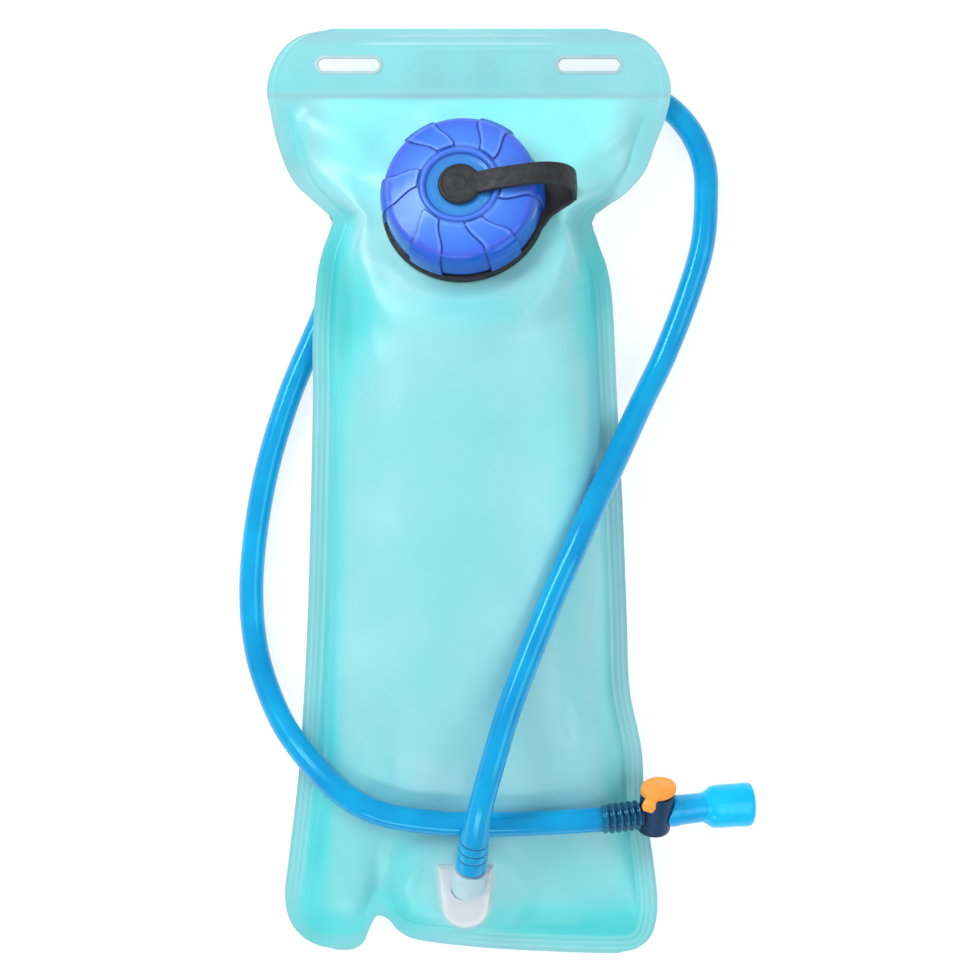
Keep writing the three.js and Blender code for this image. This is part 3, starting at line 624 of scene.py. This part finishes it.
def crease(x, y, start, end, width, height):
    """A soft ridge, or a valley where height is negative, along a line that fades at both ends."""
    a, b = np.array(start, float), np.array(end, float)
    along = ((x - a[0]) * (b - a)[0] + (y - a[1]) * (b - a)[1]) / np.dot(b - a, b - a)
    off = ((x - a[0]) * -(b - a)[1] + (y - a[1]) * (b - a)[0]) / np.linalg.norm(b - a)
    fade = smooth(along, 0, 0.35) * (1 - smooth(along, 0.6, 1))
    return height * fade * bell(off, 0, width)


def softened(z, times):
    """The same heights with their corners rounded off, and the border left as it is."""
    for _ in range(times):
        inner = (z[:-2, 1:-1] + z[2:, 1:-1] + z[1:-1, :-2] + z[1:-1, 2:]) / 4
        z = z.copy()
        z[1:-1, 1:-1] = (z[1:-1, 1:-1] + inner) / 2
    return z


# Each crease: start, end, width and height. The first twelve are at the shoulders.
CREASES = [
    ((-80, 167), (-30, 134), 7, 2.1), ((-70, 150), (-30, 124), 6, -1.6), ((82, 167), (36, 132), 7, 2.1),
    ((74, 150), (38, 124), 6, -1.6), ((-60, 118), (-34, 84), 5, 1.0), ((-56, 104), (-44, 52), 5, -0.9),
    ((-50, 92), (-36, 40), 5, 0.7), ((55, 115), (32, 92), 4, 1.1), ((55, 110), (40, 72), 4, -1.1),
    ((56, 104), (46, 52), 4, 0.9), ((-56, 136), (-40, 104), 4, 0.7), ((54, 136), (41, 104), 4, 0.7),
    ((-42, -184), (-28, -136), 6, -1.2), ((-32, -182), (-20, -146), 5, 0.9),
    ((-54, -186), (-48, -140), 7, 0.6), ((20, -186), (60, -178), 5, 0.5),
    ((42, -86), (50, -104), 1.6, 0.4), ((38, -92), (46, -108), 1.6, -0.35),
]


def from_rim(x, row):
    """Distance from the bag's left, right or bottom edge, in millimetres, round at the corners."""
    sides = np.clip(np.minimum(x - left_edge(row), right_edge(row) - x), 0.01, None)
    return (sides ** -4.0 + np.clip(row - BOTTOM_Y, 0.01, None) ** -4.0) ** -0.25


def rim_lines(x, row, u):
    """1 on the three fine weld lines that run round below the header."""
    distance = from_rim(x, row)
    lines = sum(bell(distance, at, 0.5) for at in (2.2, 4.4, 6.7))
    return lines * smooth(row, 100, 60) * np.clip(smooth(row, -178, -165) + smooth(u, 0.4, 0.55), 0, 1)


def folds(x, y, row, u):
    """The front sheet's creases, puckers and weld marks, in millimetres."""
    distance = from_rim(x, row)
    inside = smooth(off_centre(u), 1.02, 0.9) * smooth(HEADER_Y - row, 1, 10) * smooth(row - BOTTOM_Y, 7, 16)
    total = np.zeros_like(x)
    for line in CREASES:
        total += crease(x, y, *line)
    side = np.sign(u - 0.5)
    pucker = np.sin(row / 5.3 + 2 * np.sin(row / 19) + side) + 0.5 * np.sin(row / 2.9 + side * 2)
    total += 0.16 * pucker * bell(distance, 10, 6)
    header = 0.22 * np.sin(x / 4.6 + 1.5 * np.sin(x / 19) + y / 30)
    total += header * smooth(HEADER_Y - row, 20, 2)
    away = np.hypot(x - CAP_BASE.x, y - CAP_BASE.y)
    below_cap = smooth(-(y - CAP_BASE.y), 10, 34)
    total += 0.35 * np.cos((away - 40) / 2.6) * bell(away, 42, 7) * below_cap
    seam = 0.25 * bell(distance, 8.6, 0.8)
    return total * inside + 0.14 * rim_lines(x, row, u) - seam * inside


def header_lines(x, y, lines, width, fade):
    """1 on pressed lines across the header, which fade out at both ends."""
    return sum(bell(y, at, width) * smooth(reach - np.abs(x - mid), 0, fade) for at, mid, reach in lines)


def header_marks(x, y, row, u):
    """The header's pressed lines, weld band and soft ripples, in millimetres."""
    width = right_edge(row) - left_edge(row)
    from_side = np.minimum(u, 1 - u) * width
    on = (row >= HEADER_Y - 2) * smooth(from_side, 2, 9)
    lines = 0.3 * header_lines(x, y, ((194.6, 0, 44), (191.2, -5, 46), (188.6, 8, 34)), 0.45, 12)
    band = 0.3 * smooth(y, 167.2, 168.2) * (1 - smooth(y, 170.4, 171.4))
    ripple = 0.3 * sum(bell(x, at, 6) for at in (-30, -17, 7, 33)) - 0.15
    ripple = ripple * smooth(y, 171, 175) * (1 - smooth(y, 186, 190)) * smooth(44 - np.abs(x), 0, 10)
    edge = 0.25 * bell(from_side, 3, 0.8) + 0.2 * bell(TOP_Y - y, 1.4, 0.6)
    return on * (lines + band + ripple) + (row >= 158) * edge * 0.8


def slot_distance(x, y):
    """Distance outside the nearer slot's outline."""
    return np.hypot(np.maximum(np.abs(np.abs(x) - SLOT_X) - SLOT_HALF, 0), y - SLOT_Y) - SLOT_WIDTH / 2


def snap_to_slots(x, y, reach):
    """Moves the grid's points near a slot's outline onto it."""
    away = slot_distance(x, y)
    centre_x = np.sign(x) * (SLOT_X + np.clip(np.abs(x) - SLOT_X, -SLOT_HALF, SLOT_HALF))
    dx, dy = x - centre_x, y - SLOT_Y
    size = np.maximum(np.hypot(dx, dy), 1e-6)
    near = np.abs(away) < reach
    return np.where(near, x - dx / size * away, x), np.where(near, y - dy / size * away, y)


# Each oval spot: x, y, width, height and change of tone. A negative change is painted shade, a positive one
# painted light.
SHADE_AND_LIGHT_SPOTS = [
    (-50, 76, 15, 30, -0.4), (-60, 103, 12, 22, -0.5), (58, 103, 11, 24, -0.42),
    (50, 76, 10, 28, -0.24), (-74, 148, 13, 18, -0.46), (75, 144, 13, 22, -0.42),
    (-4, 78, 34, 12, -0.22), (-46, 133, 9, 14, 0.12), (-76, 164, 14, 8, -0.2),
    (78, 164, 14, 8, -0.16), (50, 122, 8, 12, -0.2), (-50, 118, 8, 10, -0.2),
    (26, -183, 30, 8, -0.26), (-30, -184, 14, 9, -0.24), (-28, -160, 9, 20, -0.16),
    (-62, -188, 20, 12, -0.2), (58, -188, 26, 9, -0.3), (-66, -120, 7, 60, -0.08),
    (-64, 0, 5, 90, -0.04), (-38, -118, 14, 26, -0.08), (40, 10, 13, 60, 0.2),
]


def film_shade_and_light(x, y, row, u):
    """How bright the sheet is: 0 deep teal at its edges and bottom, 1 under the header. Mostly painted shade
    and light: shade darkens the edges, the bottom, a band inside the rim and the header's sides and ripples,
    and painted light brightens the upper body.
    """
    # painted light brightens the upper body; painted shade darkens the sides and the bottom
    tone = 0.66 + 0.36 * smooth(y, 70, 130) - 0.12 * smooth(off_centre(u), 0.8, 1)
    tone = tone - 0.14 * smooth(-y, 90, 190)
    # painted shade: a darker teal band about 13 mm inside the rim
    inner_rim_shade = bell(from_rim(x, row), 13, 5) * smooth(y, 110, 60) * smooth(y, -186, -150)
    tone = tone - lerp(0.24, 0.06, u) * inner_rim_shade
    for at_x, at_y, wide, high, change in SHADE_AND_LIGHT_SPOTS:
        tone = tone + change * bell(x, at_x, wide) * bell(y, at_y, high)
    # painted shade along the header's ripples and towards its two sides
    ripple = sum(bell(x, at, 7) for at in (-17, 7, 33))
    header = 0.7 + 0.06 * smooth(y, 172, 186) - 0.12 * ripple * smooth(y, 171, 176) * smooth(y, 192, 186)
    header = header - 0.12 * smooth(x, 20, 80) - 0.2 * smooth(-x, 30, 80)
    return np.clip(np.where(row >= HEADER_Y, header, tone), 0, 1)


def film_grey(x, y, row):
    """The pale grey-blue of the weld line under the header and of the bag's very rim."""
    band = 0.5 * bell(y, 168.9, 1.5) * (row > 160)
    rim = 0.3 * bell(from_rim(x, row), 0.5, 0.8)
    top = 0.4 * bell(TOP_Y - y, 3, 3) * (row > 160)
    waist = bell(y, 104, 20)
    side = 0.26 * smooth(from_rim(x, row), 8, 5) * smooth(y, 172, 150) * (1 - 0.8 * waist)
    return np.clip(band + rim + top + side, 0, 0.7)


def film_lines_and_highlight(x, y, row, u):
    """The pale weld lines round the edge and across the header: partly their own pale colour, partly a
    painted highlight on their ridges.
    """
    lines = header_lines(x, y, ((194.5, 0, 42), (191.1, -5, 46)), 0.4, 14)
    return np.clip(0.24 * rim_lines(x, row, u) + 0.6 * lines * (row > 160), 0, 1)


def rim_loop(rows, columns):
    """The grid's border, counter-clockwise."""
    rim = list(range(columns)) + [r * columns + columns - 1 for r in range(1, rows)]
    rim += [(rows - 1) * columns + c for c in range(columns - 2, -1, -1)]
    return rim + [r * columns for r in range(rows - 2, 0, -1)]


def sheet_object(name, front):
    """The front or the back sheet: a grid with openings, and a wall down to the weld's middle."""
    x, y, row, u = bag_grid(300 if front else 100, 150)
    x, y = snap_to_slots(x, y, 0.55)
    if front:
        z = softened(front_shape(x, y, row, u), 14) + folds(x, y, row, u) + header_marks(x, y, row, u)
    else:
        z = back_shape(x, y, row, u)
    rows, columns = x.shape
    grid = np.stack([x, y, z], 2).reshape(-1, 3)
    faces = np.array(grid_faces(rows, columns))
    middle = grid[faces].mean(1)
    keep = slot_distance(middle[:, 0], middle[:, 1]) > 0
    if front:
        to_cap = np.array(CAP_FRAME.inverted())
        local = middle @ to_cap[:3, :3].T + to_cap[:3, 3]
        keep &= np.hypot(local[:, 0], local[:, 1]) > FILM_HOLE
    rim = rim_loop(rows, columns)
    skirt = grid[rim].copy()
    skirt[:, 2] = weld_height(row.ravel()[rim])
    low = list(range(len(grid), len(grid) + len(rim)))
    walls = list(zip(rim, low, low[1:] + low[:1], rim[1:] + rim[:1]))
    faces = np.concatenate([faces[keep], walls])
    if not front:
        faces = faces[:, ::-1]
    used, corners = np.unique(faces, return_inverse=True)  # the openings' points are left out
    points = np.concatenate([grid, skirt])[used]
    made = mesh_object(name, points, corners.reshape(-1, 4).tolist(), FILM, sharp=60)
    shades = {
        "tone": film_shade_and_light(x, y, row, u), "grey": film_grey(x, y, row), "line": film_lines_and_highlight(x, y, row, u),
        "frost": port_frost(x, y) * front,
    }
    for attribute, values in shades.items():
        flat = values.ravel()
        paint(made, attribute, np.concatenate([flat, flat[rim]])[used])
    return made


def paint(made, name, values):
    """Gives each point a value that the material reads by name."""
    data = made.data.attributes.new(name, "FLOAT", "POINT")
    data.data.foreach_set("value", np.asarray(values, np.float32).ravel())


def port_taper(py):
    """How wide the port is at each height, as a share of its full width."""
    return 0.86 + 0.12 * smooth(py, -8, 14)


def port_outline(px, py):
    """Distance outside the outlet port's outline, in its own frame."""
    below = np.minimum(py - PORT_ROUND_FROM, 0)
    return np.maximum(np.hypot(px / port_taper(py), below) - PORT_HALF, py - PORT_REACH)


def port_frost(x, y):
    """How much the port's white shows through the film round it."""
    tilt = math.cos(math.atan(PORT_SLOPE))
    outside = port_outline(x - PORT_AT.x, (y - PORT_AT.y) / tilt)
    return 0.6 * (1 - smooth(outside, -0.5, 1.8))


def slot_rim(name, side):
    """The pressed rim round a header slot, which lines the slot through both sheets."""
    section = [
        (SLOT_RIM, SHEET - 0.1), (SLOT_RIM - 0.25, SHEET + 0.28), (0.35, SHEET + 0.34), (0.02, SHEET + 0.05),
        (0.02, -SHEET - 0.05), (0.35, -SHEET - 0.3), (SLOT_RIM - 0.25, -SHEET - 0.25),
        (SLOT_RIM, -SHEET + 0.1),
    ]
    count = 64
    loops = []
    for out, z in section:
        r = SLOT_WIDTH / 2 + out
        loop = []
        for k in range(count):
            a = 2 * math.pi * k / count
            x = side * SLOT_X + math.copysign(SLOT_HALF, math.cos(a)) + r * math.cos(a)
            loop.append((x, SLOT_Y + r * math.sin(a), HEADER_Z + z))
        loops.append(loop)
    made = mesh_object(name, np.concatenate(loops), ring_faces(len(loops), count), WELD_RIM)
    join(made, "bag")


def bag():
    join(sheet_object("front_sheet", True), "bag", "front_film")
    join(sheet_object("back_sheet", False), "bag", "back_film")
    slot_rim("slot_rim_left", -1)
    slot_rim("slot_rim_right", 1)


# ---- the neck, the cap and the tether ----
def lug_angles():
    """Angles round the cap, in degrees, close together at the lugs' sides."""
    near = (-2.4, -1.4, -0.8, -0.5, -0.2, 0.1, 0.4, 0.8, 1.6, 2.8)
    out = []
    for k in range(LUGS):
        middle = LUG_FIRST + 360 / LUGS * k
        for side in (-1, 1):
            out += [middle + side * (LUG_WIDTH / 2 + d) for d in near]
        out += [middle + d for d in (-8, -5.5, -3, 0, 3, 5.5, 8)]
        out += [middle + 30 + d for d in (-12.5, -10, -7, -4, -1.3, 1.3, 4, 7, 10, 12.5)]
    return np.array(sorted(out))


def lug_shape(degrees):
    """Degrees away from the nearest lug's middle."""
    turn = 360 / LUGS
    return np.abs((degrees - LUG_FIRST + turn / 2) % turn - turn / 2)


def subdivided(line, step):
    """The same polyline with no side longer than step."""
    out = [line[0]]
    for a, b in zip(line, line[1:]):
        count = max(1, int(math.ceil(np.linalg.norm(b - a) / step)))
        out += [a + (b - a) * k / count for k in range(1, count + 1)]
    return np.array(out)


def cap():
    """The cap: a turned shell whose six lugs stand proud and sweep round as they go in."""
    profile = [
        (4.2, 19.4), (30.2, 19.4), (30.2, 5.6), (33.4, 5.6), (33.2, 12), (32.9, 15), (32.5, 17.4),
        (31.9, 18.9), (31.1, 20), (30.2, 20.7), (29, 21.15), (23, 22.35), (18.6, 23.1), (17.6, 23.15),
        (16.9, 23.4), (16.3, 24), (15.1, 24), (14, 22.2), (12.5, 22), (4.2, 22),
    ]
    line = subdivided(np.array(fillet(profile, 0.45, closed=True)), 0.8)
    degrees = lug_angles()
    off = lug_shape(degrees)[None, :]
    half = LUG_WIDTH / 2
    r, z = line[:, :1] + 0 * off, line[:, 1:] + 0 * off
    inner = 17.4 + 0.9 * (off / half) ** 8
    lug = 1 - smooth(off, half - 0.3, half + 0.5)
    outside = z > 19.6
    top = lug * smooth(r, inner, inner + 0.6) * (1 - smooth(r, 29.6, 31.6)) * outside
    side = lug * smooth(r, 31, 33) * smooth(z, 4.4, 6.2)
    foot = lug * (1 - smooth(z, 5.4, 6.4)) * (r > 32)
    twist = -LUG_TWIST * (1 - smooth(r, 16.6, 30)) * outside
    turned = np.radians(degrees[None, :] + twist)
    out = r + LUG_DEPTH * side
    points = np.stack([out * np.cos(turned), out * np.sin(turned), z + LUG_HEIGHT * top - 0.9 * foot], 2)
    faces = ring_faces(len(line), len(degrees))
    made = mesh_object("cap_shell", points, faces, CAP_BLUE, CAP_FRAME, sharp=50)
    # partly painted shade: the tone falls towards the cap's side and its lower part, and dips round the well
    shade = through([
        (0, 1.0), (13, 0.95), (15.5, 0.7), (17.5, 0.8), (22, 0.76), (29, 0.62), (32, 0.34), (34.7, 0.1),
    ])
    paint(made, "tone", shade(r) - 0.2 * smooth(-z, -18, -8))
    # painted shade: dark navy lines along the lugs' walls and inner ends and round the well's two lips
    a_degree = np.radians(1) * r
    wall = bell((off - half - 0.35) * a_degree, 0, 0.36) * (r > 17.2) * (z > 5)
    end = bell(r - inner, 0.1, 0.3) * lug * outside
    lip = (0.6 * bell(r, 16.9, 0.4) + 0.5 * bell(r, 14.2, 0.4)) * outside
    paint(made, "edge", np.clip(0.85 * wall + 0.7 * end + lip, 0, 0.9))
    # painted highlight: a pale line just inside each lug's sides and a ring near the lugs' inner ends
    beside = bell((off - half) * a_degree, -0.9, 0.5) * top
    paint(made, "painted_highlight", 0.4 * beside + 0.25 * bell(r, 18.6, 0.5) * outside)
    join(made, "cap", "filler_cap")


def neck():
    profile = [(24.5, -2.6), (34, -2.6), (34, -1.2), (28, -1.2), (28, 16.8), (24.5, 16.8)]
    join(lathe("neck_tube", profile, MILKY, CAP_FRAME, 120, 0.5), "bag", "filler_neck")
    thread("neck_thread", 28, 29.6, 7.9, 0, 1.25, "bag", MILKY)
    thread("cap_thread", 30.2, 28.4, 6.9, 120, 0.9, "cap", CAP_BLUE)


def thread(name, base, tip, start_z, start, turns, body, look):
    """A trapezoid ridge that climbs with the thread's pitch."""
    a_turn = 90
    steps = int(turns * a_turn)
    loops = []
    for k in range(steps + 1):
        a = math.radians(start + 360 / a_turn * k)
        z = start_z + THREAD_PITCH * k / a_turn
        at = base + (tip - base) * min(1, max(0.2, min(k, steps - k) / 8))
        under = base + math.copysign(0.2, base - tip)
        loop = [(under, z - 0.9), (at, z - 0.5), (at, z + 0.5), (under, z + 0.9)]
        loops.append([(r * math.cos(a), r * math.sin(a), h) for r, h in loop])
    join(loft(name, loops, look, CAP_FRAME), body)


def button():
    """The rubber button, with a shallow dish, a rounded edge and its stem."""
    profile = [
        (0, 15.2), (4.2, 15.3), (4.4, 16.2), (3.8, 16.4), (3.8, 22.3), (8.6, 22.3), (9, 22.9), (9, 24),
        (8.3, 24.7), (7.6, 24.75), (7.2, 24.45), (3.2, 24.5), (2.9, 24.7), (2.3, 24.72), (2, 24.55),
        (0, 24.55),
    ]
    made = lathe("button", profile, RUBBER, CAP_FRAME, 96, 0.3, closed=False)
    join(made, "cap_hub", "tether_button")


def tether():
    profile = [(28.8, 0.4), (35, 0.4), (35, 2.4), (34.4, 4.2), (28.8, 4.2)]
    join(lathe("neck_ring", profile, RUBBER, CAP_FRAME, 160, 0.9), "bag", "tether_ring")
    ring_tongue()
    strap_piece()


def ring_tongue():
    """The ring's tongue, which carries the strap."""
    outline = [
        (26, -22), (32.8, -12.2), (37.1, -6), (42.3, -2.4), (45.6, -0.4), (47.6, 1.8), (47.6, 9.3),
        (40, 10.2), (34, 10.8), (29.3, 12), (29, 2), (28.9, -8),
    ]
    border = fillet(outline, 1.6, 4, closed=True)
    middle = np.array((38, 3))
    loops = []
    for z, shrink in ((1.0, 0.5), (1.3, 0), (3.0, 0), (3.35, 0.25), (3.5, 0.7)):
        loops.append([(*(p + unit(middle - p) * shrink), z) for p in border])
    join(loft("ring_tongue", loops, RUBBER, CAP_FRAME), "bag")


def bar(name, line, sections, look, place):
    """A bar along a line, with its sections' first axis as near to Y as it can be."""
    loops = []
    for p, t, section in zip(line, np.gradient(line, axis=0), sections):
        t = unit(t)
        side = unit(np.array((0, 1, 0)) - t[1] * t)
        up = np.cross(t, side)
        loops.append([p + side * a + up * b for a, b in section])
    return loft(name, loops, look, place)


def strap_piece():
    """The flat strap, with a raised border, from the button over the cap's rim down to the ring's tongue."""
    line, _ = even(centripetal([
        (7.6, 0.4, 23.3), (15, 0.9, 25.7), (24, 1.8, 26.5), (32, 2.8, 26.3), (38.2, 3.5, 24.8),
        (43, 4.1, 21.4), (45.8, 4.6, 16.4), (46.5, 4.9, 11.2), (46.4, 5, 7), (46.3, 5, 2.6),
    ], 20), 0.7)
    flat = rounded_box(4.7, 1.0, 0.45, 3)
    section = [(a, b + 0.25 * float(smooth(abs(a), 3.6, 4.2)) * (b > 0)) for a, b in flat]
    made = bar("strap", line, [section] * len(line), RUBBER, CAP_FRAME)
    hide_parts("tether_strap")
    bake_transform(made)


# ---- the outlet ----
def soft_min(a, b):
    """The smaller of two heights, with the corner between them rounded."""
    firm = 1.6
    return -np.log(np.exp(-firm * a) + np.exp(-firm * b)) / firm


def port_heights(px, py):
    """The scoop's upper surface: a wedge with round edges and a pocket round the spout, and where that is."""
    wedge = soft_min(1.6 + (py + 14) * 0.344, 8.6 - (py - 3) * 0.51)
    t = (py - SPOUT_END.y) / SPOUT_AXIS.y
    into = np.clip((t + 18) / 8, 0, 1)
    radius = PORT_POCKET * np.sqrt(into * (2 - into)) + 1e-3
    off = px - SPOUT_END.x - t * SPOUT_AXIS.x
    depth = np.sqrt(np.clip(radius ** 2 - off ** 2, 0, None))
    pocket = np.where(depth > 0, SPOUT_END.z + t * SPOUT_AXIS.z - depth, 40)
    shaped = soft_min(wedge, np.clip(pocket, 0.7, 40))
    rounded = np.clip(-port_outline(px, py) / 2.2, 0, 1)
    return np.clip(shaped, 0.3, None) * np.sqrt(rounded * (2 - rounded)), pocket < wedge - 0.4


def outlet():
    """The frosted scoop that the hose's end sits in, and the spout with its shoulder and barbs."""
    rows, columns = 90, 81
    along, across = np.linspace(0, 1, rows)[:, None], np.linspace(-1, 1, columns)[None, :]
    py = -PORT_REACH + 2 * PORT_REACH * along + 0 * across
    half = np.sqrt(np.clip(PORT_HALF ** 2 - np.minimum(py - PORT_ROUND_FROM, 0) ** 2, 0.01, None))
    px = half * port_taper(py) * np.sign(across) * (1 - (1 - np.abs(across)) ** 1.5)
    z, in_pocket = port_heights(px, py)
    n = z.size
    points = np.stack([px, py, z], 2).reshape(-1, 3)
    under = points.copy()
    under[:, 2] = PORT_UNDER
    top_faces = grid_faces(rows, columns)
    faces = top_faces + [tuple(n + i for i in f[::-1]) for f in top_faces]
    rim = rim_loop(rows, columns)
    faces += [(a, n + a, n + b, b) for a, b in zip(rim, rim[1:] + rim[:1])]
    made = mesh_object("outlet_scoop", np.concatenate([points, under]), faces, PORT_FROST, PORT_FRAME)
    edge = bell(port_outline(px, py), -2.2, 1.4)
    tone = np.where(in_pocket, 0.1, 0.5 + 0.12 * smooth(-py, -2, 12))
    tone = tone + 0.35 * edge * (1 - smooth(py, 2, 12))
    paint(made, "tone", np.tile(tone.ravel(), 2))
    join(made, "bag", "outlet_port")
    profile = [
        (2.1, -15), (3.2, -15), (4.6, -14.4), (6.3, -13.2), (7.2, -11), (7.2, -1.4), (6.7, -0.8), (2.7, -0.8),
        (2.7, 0.6), (3.25, 0.8), (2.7, 4), (3.25, 4.3), (2.7, 7.5), (3.25, 7.8), (2.5, 13), (2.1, 13),
    ]
    spout = lathe("spout", profile, FROST, SPOUT_FRAME, 64, 0.3)
    join(spout, "bag", "outlet_spigot")


# ---- the valve ----
def valve():
    r = VALVE_RADIUS
    shell = [
        (0, -8.4), (6.2, -8.4), (7.0, -7.9), (r, -7), (r, 5.6), (7.05, 5.9), (r, 6.2), (r, 10.5),
        (5.2, 10.5), (5.2, -6.6), (0, -6.6),
    ]
    body = lathe("valve_shell", shell, NAVY, VALVE_FRAME, 96, 0.5, closed=False)
    join(body, "bag", "valve_body")
    inlet = [(2.1, 5.9), (3.4, 5.9), (4.9, 6.4), (4.9, 8.0), (4.4, 8.4), (2.1, 8.4)]
    against_flow = ALONG_FLOW @ Matrix.Rotation(math.pi, 4, "Y")
    join(lathe("inlet_collar", inlet, NAVY, against_flow, 64, 0.3), "bag")
    outlet_collar = [(3.5, 5.9), (4.3, 6.2), (4.9, 7.2), (4.9, 8.0), (3.5, 8.0)]
    join(lathe("outlet_collar", outlet_collar, NAVY, ALONG_FLOW, 64, 0.3), "bag")
    lever()
    mouthpiece()


def lever():
    """The orange knob: a long oval with a stepped rim, and a tab that curves down over the body's side."""
    place = VALVE_FRAME @ Matrix.Rotation(math.radians(LEVER_ANGLE), 4, "Z")
    angle = np.arange(96) * 2 * math.pi / 96
    lean = math.radians(LEVER_LEAN - LEVER_ANGLE)
    outline = 1 / np.hypot(np.cos(angle - lean) / LEVER_HALF_LENGTH, np.sin(angle - lean) / LEVER_HALF_WIDTH)
    levels = [
        (10.8, 0.4), (10.8, 0.9), (11, 0.95), (11.4, 1), (13.2, 1), (13.6, 0.98), (13.95, 0.92),
        (14.1, 0.85), (13.95, 0.8), (13.8, 0.76), (13.9, 0.7), (14.3, 0.45), (14.45, 0.15),
    ]
    loops = []
    for z, share in levels:
        r = outline * share
        loops.append(np.stack([r * np.cos(angle), r * np.sin(angle), 0 * angle + z], 1))
    join(loft("lever_knob", loops, ORANGE, place), "lever", "valve_lever")
    bend = [(4, 0, 12.5), (8, 0, 12.7), (10.6, 0, 12.2), (12, 0, 10.8), (12.3, 0, 8.9)]
    line, _ = even(centripetal(bend, 10), 0.35)
    at = np.linspace(0, 1, len(line))
    half = through([(0, 3.6), (0.35, 2.7), (0.6, 2.5), (0.85, 2.9), (1, 2.2)])(at)
    sections = [rounded_box(wide, 1.15, 0.7) for wide in half]
    join(bar("lever_tab", line, sections, ORANGE, place), "lever")


# Each station is the distance along the flow, the half width and the half depth.
STEM_STATIONS = [
    (7.6, 6.5, 6.5), (8.0, 6.8, 6.8), (9.2, 6.9, 6.9), (9.8, 6.8, 6.8), (10.6, 6.6, 6.6), (12, 6.5, 6.5),
    (16, 6.4, 6.4), (20.5, 6.3, 6.3), (22, 6.5, 6.4),
]
TIP_STATIONS = [
    (20.8, 6.3, 6.3), (22, 6.6, 6.45), (23.5, 7.4, 6.65), (25.4, 8.7, 7.1), (26.8, 9.1, 7.3), (29, 9.2, 7.4),
    (33, 9.3, 7.5), (38, 9.4, 7.45), (41, 9.5, 7.4), (42.6, 9.4, 7.2), (43.5, 9.1, 6.8), (43.9, 8.5, 6),
    (44, 7, 4.4), (43.6, 5.4, 2.2), (43.2, 4.4, 0.8), (41.5, 4.2, 0.45),
]


def oval_tube(name, outside, inside, look, place, hug=0):
    """A tube of oval section through (x, half width, half depth) stations, outside and back along the bore.

    With hug, its near end follows a round body of that radius across the flow.
    """
    keys = np.array(outside + inside)
    along = distances(keys)
    x, wide, deep = sampled(keys, along, np.linspace(0, along[-1], 170)).T[:, :, None]
    angle = np.arange(72) * 2 * math.pi / 72
    dents = 0.25 * bell(x, 37, 0.9) * np.clip(np.cos(2 * angle) - 0.4, 0, 1)
    rings = 0.1 * bell(x, 30, 0.5)
    y, z = (wide - dents + rings) * np.cos(angle), (deep + rings) * np.sin(angle)
    if hug:
        x = x - (1 - smooth(x, x[0, 0], 11)) * (hug - np.sqrt(hug ** 2 - y ** 2))
    return loft(name, list(np.stack([x + 0 * angle, y, z], 2)), look, place)


def mouthpiece():
    """The soft mouthpiece: a collared stem and a flared oval tip with a slit."""
    place = VALVE_FRAME @ Matrix.Rotation(math.radians(BITE_TURN), 4, "X")
    root = VALVE_AT + FLOW * BITE_SAG_FROM
    turn = Matrix.Rotation(math.radians(-BITE_SAG), 4, "Z")
    place = Matrix.Translation(root) @ turn @ Matrix.Translation(-root) @ place
    tip = oval_tube("bite_tip", TIP_STATIONS, [(30, 6.5, 4), (23, 5, 5), (21, 5, 5)], SILICONE, place)
    join(tip, "mouthpiece", "bite_valve")
    bore = [(22, 5.2, 5.2), (7.6, 5.2, 5.2)]
    stem = oval_tube("bite_stem", STEM_STATIONS, bore, STEM, VALVE_FRAME, VALVE_RADIUS + 0.3)
    join(stem, "mouthpiece")


def carried_over():
    """Materials of the CAD pieces that are shown as they are."""
    looks = {
        "cap_seal": MILKY, "button_retainer": MILKY, "valve_barb": NAVY, "valve_spool": ORANGE,
        "upper_spool_seal": RUBBER, "lower_spool_seal": RUBBER, "spool_clip": STEEL,
        "mouthpiece_spigot": NAVY,
    }
    for name, look in looks.items():
        finish_mesh(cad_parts[name].data, look, 35)


# ---- the stage ----
def floor():
    corners = [(x * FLOOR_HALF, y * FLOOR_HALF, FLOOR_Z) for x, y in ((-1, -1), (1, -1), (1, 1), (-1, 1))]
    look = Look("floor_white", 0.7, Emission_Color=(1, 1, 1, 1), Emission_Strength=0.72)
    look.colour(look.ramp(look.noise(2, 2), [(0.3, (0.38, 0.38, 0.38, 1)), (0.7, (0.4, 0.4, 0.4, 1))]))
    made = mesh_object("floor", corners, [(0, 1, 2, 3)], look.material)


def lamp(name, at, size, power):
    """A rectangular lamp, in metres and watts, that faces the origin."""
    data = bpy.data.lights.new(name, "AREA")
    data.shape = "RECTANGLE"
    data.size, data.size_y = size
    data.energy = power
    made = bpy.data.objects.new(name, data)
    made.location = at
    made.rotation_euler = (-Vector(at)).to_track_quat("-Z", "Y").to_euler()
    bpy.context.scene.collection.objects.link(made)


def lighting():
    world = bpy.data.worlds.new("studio")
    world.use_nodes = True
    background = world.node_tree.nodes["Background"]
    background.inputs["Color"].default_value = (0.97, 0.985, 1, 1)
    background.inputs["Strength"].default_value = 0.62
    bpy.context.scene.world = world
    lamp("key", (-0.9, 0.9, 1.25), (1.2, 0.5), 17)
    lamp("fill", (1.1, -0.4, 1.3), (1.1, 0.9), 6)
    lamp("rim", (-0.3, -1.3, 0.9), (1.0, 0.3), 4)
    bpy.context.scene.view_settings.view_transform = "Standard"


# ---- assembly ----
tube, centreline, hose_length = hose()
bag()
neck()
cap()
button()
tether()
outlet()
valve()
carried_over()
floor()
lighting()
